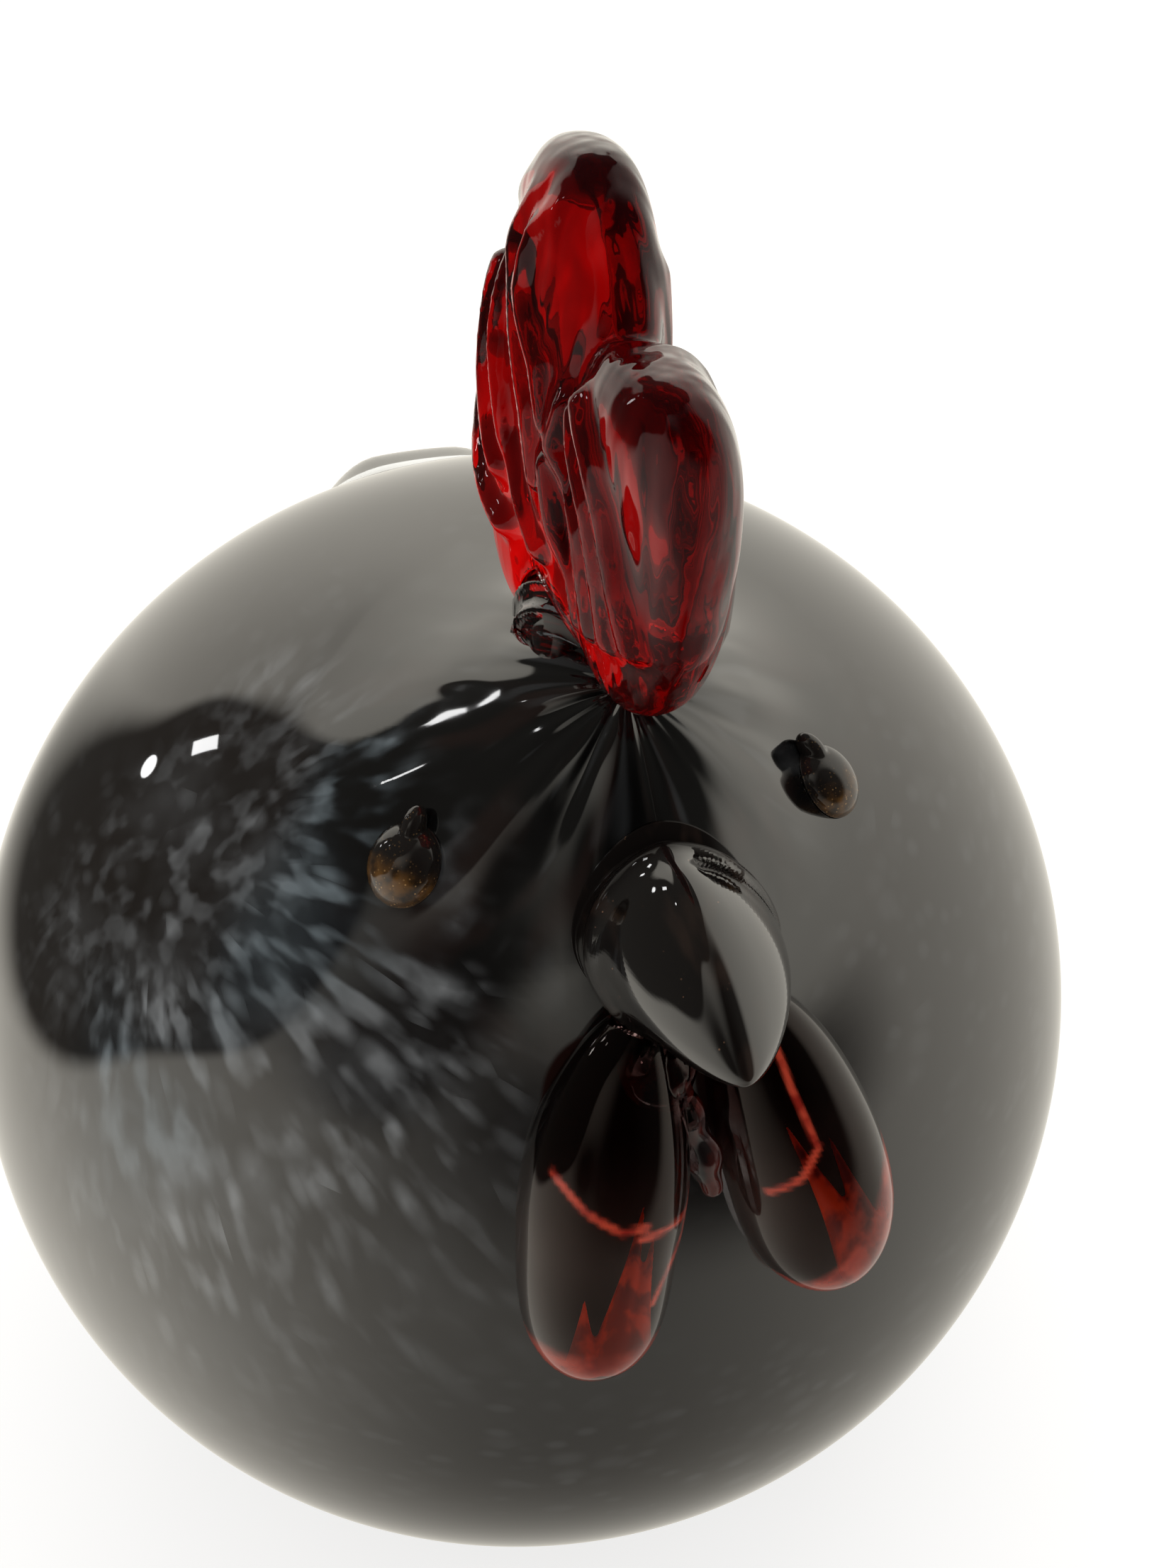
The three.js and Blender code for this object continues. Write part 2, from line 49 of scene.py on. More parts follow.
BODY_RADIUS = 72 * MM
BASE_FLAT_RADIUS = 30 * MM
CASING_WALL = 4 * MM
GROUND_FLOOR = 5 * MM
FLOOR_BLEND = 8 * MM
PIPE_HOLE_RADIUS = 13 * MM
BODY_CENTRE = np.array([0.0, 0.0, math.sqrt(BODY_RADIUS ** 2 - BASE_FLAT_RADIUS ** 2)])
UPRIGHT = np.array([0.0, 0.0, 1.0])
# Tilts, sides and spreads are in degrees as seen from the body's centre
HEAD_TILTS, HEAD_HEIGHT, HEAD_SPREAD = (25, 43), 4 * MM, 9
NECK_TILT, NECK_HEIGHT, NECK_SPREAD = 28, 1.8 * MM, 22
TAIL_TILT, TAIL_HEIGHT, TAIL_SPREAD = -54, 11 * MM, 11
TAIL_HALF_WIDTH, TAIL_EDGE_SPREAD = 4, 9
CLEAR_TAIL_DEPTH = 6 * MM
# Height, tilt, side and spread of the comb's seat, and of a slight swell and hollow that the
# tools left beside the neck on the hen's right
ROUND_SWELLS = [(6.4 * MM, 27, 0, 13), (1 * MM, 27.9, -19.4, 6.9), (-1 * MM, 14.8, -13.2, 12)]


def aim(tilt, side):
    """Directions from the body's centre: tilt in degrees from straight up towards the front,
    side in degrees towards the hen's left: (sin s, -sin t cos s, cos t cos s)."""
    t, s = np.radians(tilt), np.radians(side)
    return np.stack([np.sin(s) + 0 * t, -np.sin(t) * np.cos(s), np.cos(t) * np.cos(s)], axis=-1)


def body_reach(direction, tail_height=TAIL_HEIGHT):
    """Distance from the body's centre to its skin: the ball's radius plus bell curves exp(-d^2) of
    the angle d to the head's ridge, its wider neck, the pinched tail and each round swell."""
    tilt = np.degrees(np.arctan2(-direction[..., 1], direction[..., 2]))
    side = np.degrees(np.arcsin(np.clip(direction[..., 0], -1, 1)))
    along_head = np.maximum(0, np.maximum(HEAD_TILTS[0] - tilt, tilt - HEAD_TILTS[1]))
    from_head = np.hypot(along_head, side)
    beside_tail = np.maximum(0, np.abs(side) - TAIL_HALF_WIDTH) / TAIL_EDGE_SPREAD
    reach = BODY_RADIUS + HEAD_HEIGHT * np.exp(-(from_head / HEAD_SPREAD) ** 2)
    reach = reach + NECK_HEIGHT * np.exp(-(from_head / NECK_SPREAD) ** 2)
    reach = reach + tail_height * np.exp(
        -((tilt - TAIL_TILT) / TAIL_SPREAD) ** 2 - beside_tail ** 2)
    for height, at_tilt, at_side, spread in ROUND_SWELLS:
        away = ((tilt - at_tilt) ** 2 + (side - at_side) ** 2) / spread ** 2
        reach = reach + height * np.exp(-away)
    return reach


def body_place(tilt, side, lift=0.0):
    """The skin's point at a tilt and a side angle, lifted off it along the ray from the centre."""
    direction = aim(tilt, side)
    return BODY_CENTRE + direction * (body_reach(direction) + lift)[..., None]


def body_outward(tilt, side):
    """The skin's normal: the cross product of its slopes along the tilt and the side angle."""
    step = 0.5
    along = body_place(tilt + step, side) - body_place(tilt - step, side)
    across = body_place(tilt, side + step) - body_place(tilt, side - step)
    normal = np.cross(along, across)
    return normal / np.linalg.norm(normal, axis=-1, keepdims=True)


def inner_reach(direction, inset):
    """The inside wall: the skin less the casing's wall, or the flat top of the ground floor where
    that is nearer. Where the two differ by less than a blend, the nearer one comes in by a quarter
    of the blend times (1 - difference / blend)^2."""
    wall = body_reach(direction, TAIL_HEIGHT - CLEAR_TAIL_DEPTH) - CASING_WALL - inset
    down = np.maximum(1e-6, -direction[..., 2])
    floor = (BODY_CENTRE[2] - GROUND_FLOOR - inset) / down
    gap = np.clip((wall - floor) / FLOOR_BLEND, -1, 1)
    softened = np.minimum(wall, floor) - FLOOR_BLEND * (1 - np.abs(gap)) ** 2 / 4
    return np.where(direction[..., 2] < 0, softened, wall)


def whole_turn(count):
    """Angles round a whole turn in equal steps."""
    return np.linspace(0, 2 * math.pi, count, endpoint=False)


def ring_faces(rows, columns):
    """The four-sided faces between neighbouring rings of a grid, as numbers of its points."""
    row, column = np.mgrid[0:rows - 1, 0:columns]
    here, onward, after = row * columns, (row + 1) * columns, (column + 1) % columns
    faces = np.stack([here + column, onward + column, onward + after, here + after], axis=-1)
    return faces.reshape(-1, 4)


def glass_mesh(name, rings, first_pole, last_pole):
    """A closed form from a (rows, columns, 3) array of rings and a point that closes each end."""
    rows, columns = rings.shape[:2]
    points = np.concatenate([rings.reshape(-1, 3), [first_pole], [last_pole]])
    quads = ring_faces(rows, columns)
    i = np.arange(columns)
    j = (i + 1) % columns
    last = (rows - 1) * columns
    start_fan = np.stack([np.full(columns, rows * columns), i, j], axis=-1)
    end_fan = np.stack([np.full(columns, rows * columns + 1), last + j, last + i], axis=-1)
    mesh = bpy.data.meshes.new(name)
    mesh.vertices.add(len(points))
    mesh.vertices.foreach_set("co", points.astype(np.float32).ravel())
    corners = np.concatenate([quads.ravel(), start_fan.ravel(), end_fan.ravel()])
    sizes = np.concatenate([np.full(len(quads), 4), np.full(2 * columns, 3)])
    mesh.loops.add(len(corners))
    mesh.loops.foreach_set("vertex_index", corners.astype(np.int32))
    mesh.polygons.add(len(sizes))
    mesh.polygons.foreach_set("loop_start", (np.cumsum(sizes) - sizes).astype(np.int32))
    mesh.polygons.foreach_set("use_smooth", np.ones(len(sizes), dtype=bool))
    mesh.update(calc_edges=True)
    mesh.validate()
    return mesh


def in_scene(name, data):
    """A new object in the scene for a mesh, a lamp or the camera."""
    thing = bpy.data.objects.new(name, data)
    bpy.context.scene.collection.objects.link(thing)
    return thing


def glass_piece(name, mesh, node, finish):
    """Puts a finished mesh in the scene in place of the CAD node that it stands for."""
    piece = in_scene(name, mesh)
    mesh.materials.clear()
    mesh.materials.append(finish)
    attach(piece, "root")
    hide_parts(node)


class Tint:
    """A value over a glass surface. It wraps one socket, and arithmetic on it adds Math nodes."""

    def __init__(self, socket):
        self.socket = socket
        self.tree = socket.id_data

    def node(self, kind, settings=(), sockets=(), out=0):
        """Adds any node: its type, its settings, then the values or links of its sockets."""
        made = self.tree.nodes.new(kind)
        for key, value in dict(settings).items():
            setattr(made, key, value)
        for key, value in dict(sockets).items():
            if isinstance(value, Tint):
                self.tree.links.new(value.socket, made.inputs[key])
            else:
                made.inputs[key].default_value = value
        return Tint(made.outputs[out])

    def math(self, operation, *others):
        """A Math node on this value and the others, in that order."""
        sockets = dict(enumerate((self,) + others))
        return self.node("ShaderNodeMath", {"operation": operation}, sockets)

    def __add__(self, other):
        return self.math("ADD", other)

    def __mul__(self, other):
        return self.math("MULTIPLY", other)

    def __sub__(self, other):
        return self.math("SUBTRACT", other)

    def __rsub__(self, other):
        return self.node("ShaderNodeMath", {"operation": "SUBTRACT"}, {0: other, 1: self})

    __radd__ = __add__
    __rmul__ = __mul__

    def fade(self, low, high):
        """0 at low, 1 at high, with a soft S-curve between them. Low may be the larger one."""
        values = {"Value": self, "From Min": low, "From Max": high}
        if low > high:
            values = {"Value": self, "From Min": high, "From Max": low,
                      "To Min": 1.0, "To Max": 0.0}
        settings = {"interpolation_type": "SMOOTHSTEP", "clamp": True}
        return self.node("ShaderNodeMapRange", settings, values)

    def tinted(self, none, full):
        """The colour none where this value is 0 and full where it is 1."""
        sockets = {0: self, 6: none, 7: full}
        return self.node("ShaderNodeMix", {"data_type": "RGBA"}, sockets, out=2)

    def vector(self, operation, *others):
        """A Vector Math node on these coordinates and the others, in that order."""
        out = "Value" if operation in ("DOT_PRODUCT", "DISTANCE") else "Vector"
        sockets = dict(enumerate((self,) + others))
        return self.node("ShaderNodeVectorMath", {"operation": operation}, sockets, out)

    def along(self, direction):
        """How far these coordinates lie along a direction: their dot product."""
        return self.vector("DOT_PRODUCT", tuple(direction))

    def stretched(self, scale):
        """These coordinates multiplied by a scale for each axis."""
        return self.vector("MULTIPLY", scale)

    def part(self, axis):
        return self.node("ShaderNodeSeparateXYZ", (), {0: self}, out="XYZ".index(axis))

    def joined(self, other):
        """Flat coordinates put together from this value and another one."""
        return self.node("ShaderNodeCombineXYZ", (), {0: self, 1: other})

    def cloud(self, scale, detail, out=0):
        sockets = {"Vector": self, "Scale": scale, "Detail": detail}
        return self.node("ShaderNodeTexNoise", (), sockets, out)

    def cells(self, scale, out=0):
        return self.node("ShaderNodeTexVoronoi", (), {"Vector": self, "Scale": scale}, out)

    def swirled(self, scale, amount):
        """These coordinates pushed about by a slow noise, as the hot glass dragged the pattern."""
        push = self.cloud(scale, 1.0, out=1).vector("SUBTRACT", (0.5, 0.5, 0.5))
        return self.vector("ADD", push.stretched((amount, amount, amount)))

    def bump(self, distance, strength=1.0):
        """Normals of a relief whose height is this value times a distance in metres."""
        sockets = {"Strength": strength, "Distance": distance, "Height": self}
        return self.node("ShaderNodeBump", (), sockets)

    def mixed(self, none, full):
        """The shader none where this value is 0 and full where it is 1."""
        return self.node("ShaderNodeMixShader", (), {0: self, 1: none, 2: full})

    def principled(self, **sockets):
        named = {key.replace("_", " "): value for key, value in sockets.items()}
        return self.node("ShaderNodeBsdfPrincipled", (), named)


def new_finish(name):
    """An empty material and the object's own coordinates, in metres."""
    finish = bpy.data.materials.new(name)
    finish.use_nodes = True
    finish.node_tree.nodes.clear()
    return finish, Tint(finish.node_tree.nodes.new("ShaderNodeTexCoord").outputs["Object"])


def pour(surface, volume=None, kind="Material"):
    """Links a shader, and what the glass absorbs, to the output of its material or world."""
    output = surface.tree.nodes.new("ShaderNodeOutput" + kind)
    surface.tree.links.new(surface.socket, output.inputs["Surface"])
    if volume is not None:
        surface.tree.links.new(volume.socket, output.inputs["Volume"])


def about_neck(places):
    """The angle round the neck's axis, and the distance up it from the body's centre."""
    t = math.radians(NECK_TILT)
    centre = (0.0, -BODY_CENTRE[2] * math.sin(t), -BODY_CENTRE[2] * math.cos(t))
    neck = places.node("ShaderNodeMapping", {"vector_type": "POINT"}, {
        "Vector": places, "Location": centre, "Rotation": (-t, 0.0, 0.0)})
    return neck.part("X").math("ARCTAN2", neck.part("Y")), neck.part("Z")


# The smoke glass and its chips, and the glass of the neck that was drawn out with the head
SMOKE_BLACK, SMOKE_BROWN = (0.0065, 0.0065, 0.0070, 1), (0.015, 0.0105, 0.008, 1)
SMOKE_BLUE = (0.0070, 0.0088, 0.0110, 1)
CHALK, BLUE_CHALK = (0.225, 0.232, 0.235, 1), (0.15, 0.18, 0.195, 1)
NECK_BLACK, NECK_EMBER = (0.0022, 0.0020, 0.0020, 1), (0.0105, 0.0050, 0.0040, 1)
NECK_STREAK = (0.075, 0.078, 0.080, 1)
# The chips lie thickest round one spot and fan out from it towards the second direction
THICK_SPOT, FAN_END = aim(22.0, -35.0), aim(47.0, -22.0)
AHEAD = FAN_END - THICK_SPOT * (FAN_END @ THICK_SPOT)
AHEAD /= np.linalg.norm(AHEAD)


def flock(where, scale, axis, rarity):
    """The middles of cells, each as bright as its own number says."""
    own = where.cells(scale, out=1).part(axis)
    return where.cells(scale).fade(0.52, 0.12) * own.fade(rarity, 1.0)


def chip_pattern(places):
    """White chips of crushed glass over smoke black. They fan out from a thick spot on the hen's
    right shoulder, drawn long by the stretch of the hot glass, and thin out over the rest of the
    body. The neck is darker, and streaks run up it to the comb. Returns the colour."""
    dragged = places.swirled(30.0, 7 * MM)
    from_centre = dragged.vector("SUBTRACT", tuple(BODY_CENTRE))
    forward = from_centre.along(AHEAD)
    sideways = from_centre.along(np.cross(THICK_SPOT, AHEAD))
    in_front = from_centre.along(THICK_SPOT).fade(0.0, 30 * MM)
    reach = (forward * forward + sideways * sideways).math("SQRT")

    # Across the fan by the angle, along it by how often the reach from its spot has doubled
    turned = sideways.math("ARCTAN2", forward)
    doublings = (reach * 1000.0 + 2.0).math("LOGARITHM", 2.0)
    fan = turned.joined(doublings * 0.32)

    # Where chips lie: on the open side of the spot, off the beak, and thick on the spot itself
    open_side = turned.math("COSINE").fade(-0.05, 0.65)
    off_beak = places.part("X").fade(-8 * MM, -22 * MM)
    on_spot = reach.fade(28 * MM, 12 * MM) * forward.fade(-14 * MM, -3 * MM) * 0.6
    density = open_side * reach.fade(62 * MM, 24 * MM) * off_beak
    density = density.math("MAXIMUM", on_spot) * in_front
    mottled = dragged.cloud(260.0, 2.0).fade(0.25, 0.65) * 0.6 + 0.4

    # Round chips near the spot, longer ones in the fan, finer ones far out and a few elsewhere
    flattened = dragged.stretched((1.0, 1.0, 1.6))
    near = dragged.cloud(330.0, 1.5).fade(0.47, 0.66) + flock(flattened, 260.0, "Y", 0.1)
    near = near * reach.fade(24 * MM, 13 * MM) * 0.4
    middle = fan.cloud(9.0, 1.5).fade(0.48, 0.66) * 0.7 + flock(fan, 8.5, "X", 0.0)
    middle = middle * reach.fade(12 * MM, 20 * MM) * reach.fade(42 * MM, 30 * MM)
    far = fan.cloud(17.0, 1.5).fade(0.5, 0.7) * 0.6 + flock(fan, 16.0, "Z", 0.0)
    far = far * reach.fade(28 * MM, 40 * MM)
    fanned = (near + middle + far) * density * mottled
    sparse = flattened.cloud(18.0, 2.0).fade(0.4, 0.7) * (1.0 - in_front * 0.6)
    sprinkled = flock(flattened, 190.0, "X", 0.1) + flock(flattened, 330.0, "Z", 0.3)
    chips = fanned + sprinkled * sparse * 0.27
    haze = dragged.cloud(95.0, 3.0).fade(0.38, 0.8) * density * 0.2

    blue = dragged.stretched((1.0, -1.0, 1.0)).cloud(31.0, 1.0).fade(0.50, 0.66) * density
    smoke = blue.tinted(dragged.cloud(26.0, 1.0).tinted(SMOKE_BLACK, SMOKE_BROWN), SMOKE_BLUE)
    chalk = blue.tinted(CHALK, BLUE_CHALK)
    speckled = (chips + haze).math("MINIMUM", 1.0).tinted(smoke, chalk)

    round_neck, up_neck = about_neck(places)
    spokes = (round_neck * 1.2).joined(up_neck * 40.0)
    ember = spokes.swirled(2.0, 0.6).cloud(2.6, 1.0).fade(0.50, 0.68)
    dark_neck = up_neck.fade(66 * MM, 70.5 * MM) * (1.0 - chips * 0.8)
    speckled = dark_neck.tinted(speckled, ember.tinted(NECK_BLACK, NECK_EMBER))
    on_neck = up_neck.fade(68 * MM, 75 * MM) * up_neck.fade(86.5 * MM, 81.5 * MM)
    pulled = spokes.swirled(2.0, 0.5).cloud(4.0, 1.0).fade(0.56, 0.72) * on_neck
    return (pulled * 0.3).tinted(speckled, NECK_STREAK)


CASING_ROWS, INNER_ROWS, CASING_COLUMNS = 150, 90, 240
turn = whole_turn(CASING_COLUMNS)


def round_body(polar):
    """Directions on rings round the upright axis: (sin p sin a, -sin p cos a, cos p)."""
    polar, around = np.meshgrid(polar, turn, indexing="ij")
    level = [np.sin(polar) * np.sin(around), -np.sin(polar) * np.cos(around)]
    return np.stack(level + [np.cos(polar)], axis=-1)


def level_ring(radius, height):
    """Rings of given radii and heights round the upright axis."""
    radius, height = np.atleast_1d(radius, height)
    ring = np.stack([radius[:, None] * np.sin(turn), -radius[:, None] * np.cos(turn)], axis=-1)
    height = np.broadcast_to(height[:, None, None], ring.shape[:2] + (1,))
    return np.concatenate([ring, height], axis=-1)


# The skin down to the ground flat, the flat in to the pipe hole and up its wall, the inside wall
ground_edge = math.pi - math.asin(BASE_FLAT_RADIUS / BODY_RADIUS)
hole_edge = math.pi - math.atan(PIPE_HOLE_RADIUS / (BODY_CENTRE[2] - GROUND_FLOOR))
outer = round_body(np.linspace(0, ground_edge, CASING_ROWS)[1:])
outer = BODY_CENTRE + outer * body_reach(outer)[..., None]
flat = level_ring(
    np.array([29.4, 29.0, 22, 13.8, 13.4, 13.0, 13.0, 13.0, 13.0]) * MM,
    np.array([0.0, 0.0, 0.0, 0.0, 0.0, 0.3, 0.7, 2.5, 4.3]) * MM,
)
inner = round_body(np.linspace(hole_edge, 0, INNER_ROWS)[:-1])
inner = BODY_CENTRE + inner * inner_reach(inner, 0)[..., None]
casing_mesh = glass_mesh(
    "casing", np.concatenate([outer, flat, inner]),
    BODY_CENTRE + UPRIGHT * body_reach(UPRIGHT), BODY_CENTRE + UPRIGHT * inner_reach(UPRIGHT, 0),
)


def near_line(places, start, end, radius):
    """1 within a radius of the straight line from start to end, 0 outside it, soft between."""
    span = end - start
    from_start = places.vector("SUBTRACT", tuple(start))
    share = from_start.along(span / (span @ span))
    share = share.node("ShaderNodeClamp", (), {"Value": share})
    nearest = share.node("ShaderNodeVectorMath", {"operation": "SCALE"}, {
        0: tuple(span), "Scale": share})
    edge = 0.3 * MM
    return from_start.vector("DISTANCE", nearest).fade(radius + edge, radius - edge)


casing_finish, places = new_finish("clear_casing_over_smoke")
round_neck, up_neck = about_neck(places)
folds = (round_neck * 0.8).joined(up_neck * 30.0).swirled(2.0, 0.4).cloud(3.0, 0.5)
folds = folds * up_neck.fade(66 * MM, 76.5 * MM)
relief = places.cloud(24.0, 0.0) * 0.3 + folds * 2.6
ripple = relief.bump(0.5 * MM)
blurred = up_neck.fade(71 * MM, 77 * MM) * 0.03 + 0.03
smoky = places.principled(
    Base_Color=chip_pattern(places), Roughness=blurred, IOR=1.8, Normal=ripple)
clear = places.principled(
    Base_Color=(0.93, 0.95, 0.93, 1), Roughness=0.02, IOR=1.5, Transmission_Weight=1.0,
    Normal=ripple)

# Under each wattle its glass and the skin have melted into one, so nothing shines back there
MELTED_RADIUS = 6.6 * MM
RIGHT_ENDS = body_place(np.array([53.0, 67.5]), np.array([-5.4, -9.0]))
LEFT_ENDS = body_place(np.array([53.0, 66.0]), np.array([5.2, 8.2]))
melted_on = (near_line(places, *RIGHT_ENDS, MELTED_RADIUS)
             + near_line(places, *LEFT_ENDS, MELTED_RADIUS))
# The skin under each drop is painted dark near the beak and lighter and browner lower down, as
# painted shade and painted light seen through the drop.
shade_and_light_under_drop = places.part("Z").fade(107 * MM, 99 * MM).tinted(
    (0.013, 0.005, 0.004, 1), (0.070, 0.045, 0.038, 1))
unlit = places.principled(
    Base_Color=shade_and_light_under_drop, Roughness=1.0, IOR=1.0, Specular_IOR_Level=0.0)

# The tail is clear glass all through
TAIL_MIDDLE = body_place(-58.0, 0.0, 5 * MM)
glassy_tail = places.vector("DISTANCE", tuple(TAIL_MIDDLE)).fade(34 * MM, 22 * MM)
pour(glassy_tail.mixed(melted_on.mixed(smoky, unlit), clear))
glass_piece("casing_glass", casing_mesh, "body_casing", casing_finish)


# ----------------------------------------
# Colour layer: the smoke-black glass with white chips that lines the casing, gathered first and
# rolled over crushed glass. It shows through the thick clear glass of the tail.

LAYER_GAP = 0.3 * MM
LAYER_WALL = 4 * MM
LAYER_ROWS = 110

# Its outside runs down to the pipe hole, and its inside back up
insets = LAYER_GAP, LAYER_GAP + LAYER_WALL
polar = np.linspace(0, hole_edge, LAYER_ROWS)[1:]
layer_rings = [BODY_CENTRE + rays * inner_reach(rays, inset)[..., None]
               for rays, inset in zip((round_body(polar), round_body(polar[::-1])), insets)]
layer_tops = [BODY_CENTRE + UPRIGHT * inner_reach(UPRIGHT, inset) for inset in insets]
layer_mesh = glass_mesh("smoke_layer", np.concatenate(layer_rings), *layer_tops)
layer_finish, places = new_finish("smoke_layer_with_chips")
pour(places.principled(Base_Color=chip_pattern(places), Roughness=0.25, IOR=1.5))
glass_piece("smoke_layer", layer_mesh, "body_colour_layer", layer_finish)


# ----------------------------------------
# Base button: a disc of clear glass that closes the hole left by the blowpipe, pressed in hot and
# ground level with the base.

BUTTON_RADIUS = PIPE_HOLE_RADIUS - 0.3 * MM
BUTTON_HEIGHT = 9 * MM
BUTTON_DIMPLE = 0.2 * MM
LOWER_EDGE, UPPER_EDGE = 0.8 * MM, 1.2 * MM

rim = np.linspace(0, math.pi / 2, 7)
button_rings = np.concatenate([
    level_ring(np.linspace(1, 11.6, 9) * MM, np.full(9, 0.0)),
    level_ring(BUTTON_RADIUS - LOWER_EDGE * (1 - np.sin(rim)), LOWER_EDGE * (1 - np.cos(rim))),
    level_ring(BUTTON_RADIUS - UPPER_EDGE * (1 - np.cos(rim)),
               BUTTON_HEIGHT - UPPER_EDGE * (1 - np.sin(rim))),
    level_ring(np.linspace(11, 1, 9) * MM, BUTTON_HEIGHT - BUTTON_DIMPLE * np.linspace(0, 1, 9)),
])[::-1]
button_mesh = glass_mesh(
    "button", button_rings, UPRIGHT * (BUTTON_HEIGHT - BUTTON_DIMPLE), np.array([0, 0, 0.0]))
button_finish, places = new_finish("ground_clear_glass")
scratched = places.swirled(300.0, 2 * MM).cloud(1400.0, 3.0)
grey_glass = scratched.tinted((0.16, 0.17, 0.165, 1), (0.28, 0.29, 0.285, 1))
pour(places.principled(
    Base_Color=grey_glass, Roughness=scratched.fade(0.2, 0.9) * 0.3 + 0.1))
glass_piece("button_glass", button_mesh, "base_button", button_finish)


# ----------------------------------------
# Comb: deep ruby glass laid on the crown in three gathers and squeezed together to one thick
# plate. The tool left upright crests on its sides and a curl on the tall lobe.

COMB_SEAT = body_place(27.0, 0.0, -5.8 * MM)
COMB_SIZE = np.array([11, 44, 44]) * MM
ROOT_CENTRE = COMB_SEAT + np.array([-2.64, 7.0, 3.75]) * MM
ROOT_HALF = np.array([4.75, 7.0, 7.5]) * MM
MELT_VOXEL, MELT_SOFTNESS = 0.42 * MM, 8
LOBE_ROWS, LOBE_COLUMNS, LOBE_SQUARENESS = 62, 90, 0.85
RUN_PLACES = 60


def eased(count):
    """0 to 1 in steps that are shorter near both ends: (1 - cos a) / 2."""
    return (1 - np.cos(np.linspace(0, math.pi, count))) / 2


def curved(start, middle, end, u):
    """A quadratic curve through its start and end that leans towards the middle point."""
    u = u[:, None]
    return (1 - u) ** 2 * start + 2 * u * (1 - u) * middle + u ** 2 * end


def squarish(around, power):
    """Cosine and sine of the angles, each taken to a power with its sign kept."""
    return (np.sign(wave) * np.abs(wave) ** power for wave in (np.cos(around), np.sin(around)))


def lobe(name, bottom, middle, top, half_length, half_thickness, foot, bluntness):
    """One lobe: an upright curved path whose section swells as a blunt dome
    (1 - |2u - 1|^p)^(1/p), narrower at its foot by a given share."""
    u = eased(LOBE_ROWS)
    path = curved(*(COMB_SEAT + np.array(spot) * COMB_SIZE for spot in (bottom, middle, top)), u)
    swell = (1 - np.abs(2 * u - 1) ** bluntness) ** (1 / bluntness) * (foot + (1 - foot) * u)
    cos, sin = squarish(whole_turn(LOBE_COLUMNS), LOBE_SQUARENESS)
    rings = np.repeat(path[:, None], LOBE_COLUMNS, axis=1)
    rings[..., 1] += swell[:, None] * half_length * COMB_SIZE[1] * cos
    rings[..., 0] += swell[:, None] * half_thickness * COMB_SIZE[0] * sin
    return glass_mesh(name, rings[1:-1], path[0], path[-1])


def vectors_of(items, what):
    """One vector of each of a mesh's items, as an array."""
    found = np.empty(len(items) * 3, dtype=np.float32)
    items.foreach_get(what, found)
    return found.reshape(-1, 3).astype(float)


def set_points(mesh, points):
    mesh.vertices.foreach_set("co", points.astype(np.float32).ravel())
    mesh.update()


def averaged(mesh, points, times):
    """Each point moved half way to the mean of its neighbours, over and over."""
    edges = np.empty(len(mesh.edges) * 2, dtype=np.int32)
    mesh.edges.foreach_get("vertices", edges)
    a, b = edges.reshape(-1, 2).T
    ends, neighbours = np.concatenate([a, b]), np.concatenate([b, a])
    count = np.bincount(ends, minlength=len(points))[:, None]
    for _ in range(times):
        total = [np.bincount(ends, points[neighbours, k], len(points)) for k in range(3)]
        points = points + 0.5 * (np.stack(total, axis=-1) / count - points)
    return points


def melted(name, meshes, voxel, softness):
    """Several closed forms fused to one skin of even faces, its points then averaged with their
    neighbours as often as softness says, as heat rounds glass."""
    joined = bmesh.new()
    for mesh in meshes:
        joined.from_mesh(mesh)
    together = bpy.data.meshes.new(name)
    joined.to_mesh(together)
    joined.free()
    form = in_scene(name, together)
    fuse = form.modifiers.new("fuse", "REMESH")
    fuse.mode = "VOXEL"
    fuse.voxel_size = voxel
    fuse.use_smooth_shade = True
    graph = bpy.context.evaluated_depsgraph_get()
    skin = bpy.data.meshes.new_from_object(form.evaluated_get(graph))
    skin.name = name
    bpy.data.objects.remove(form)
    set_points(skin, averaged(skin, vectors_of(skin.vertices, "co"), softness))
    return skin


def settled_on_body(points, gap=0.3 * MM):
    """Points that would be inside the body are pushed out along their ray to a gap above it."""
    ray = points - BODY_CENTRE
    reach = np.linalg.norm(ray, axis=-1, keepdims=True)
    direction = ray / reach
    floor = (body_reach(direction) + gap)[..., None]
    return BODY_CENTRE + direction * np.maximum(reach, floor)


def kept_off(points, centre, half, gap):
    """Points inside an ellipsoid are pushed out along their ray to a gap round it."""
    scaled = (points - centre) / (half + gap)
    size = np.linalg.norm(scaled, axis=-1, keepdims=True)
    return centre + (points - centre) * np.maximum(1, 1 / np.maximum(size, 1e-9))


def dense_run(run):
    """A run of places in two measures, made dense in equal steps along its straight stretches."""
    step = np.linspace(0, len(run) - 1, RUN_PLACES)
    return np.stack([np.interp(step, np.arange(len(run)), one) for one in np.transpose(run)], -1)


# Each gather, and the web of glass between two of them: its foot, middle and top and its half
# length and thickness in comb sizes, how much of them is left at its foot, and how blunt it is
GATHERS = [
    ("front", (0.06, -0.05, 0.08), (0.21, -0.155, 0.45), (-0.08, -0.23, 0.82),
     0.23, 0.5, 0.98, 3.4),
    ("tall", (0, 0.13, 0.08), (-0.14, 0.1, 0.5), (0.05, 0.21, 1.05), 0.24, 0.53, 0.86, 3),
    ("rear", (-0.3, 0.34, 0.05), (-0.15, 0.38, 0.4), (-0.1, 0.38, 0.84), 0.2, 0.48, 0.86, 2.4),
    ("web", (0, 0.06, 0.12), (0, 0.04, 0.4), (0, 0.03, 0.74), 0.28, 0.36, 0.86, 4),
]
comb_mesh = melted("comb", [lobe(*gather) for gather in GATHERS], MELT_VOXEL, MELT_SOFTNESS)

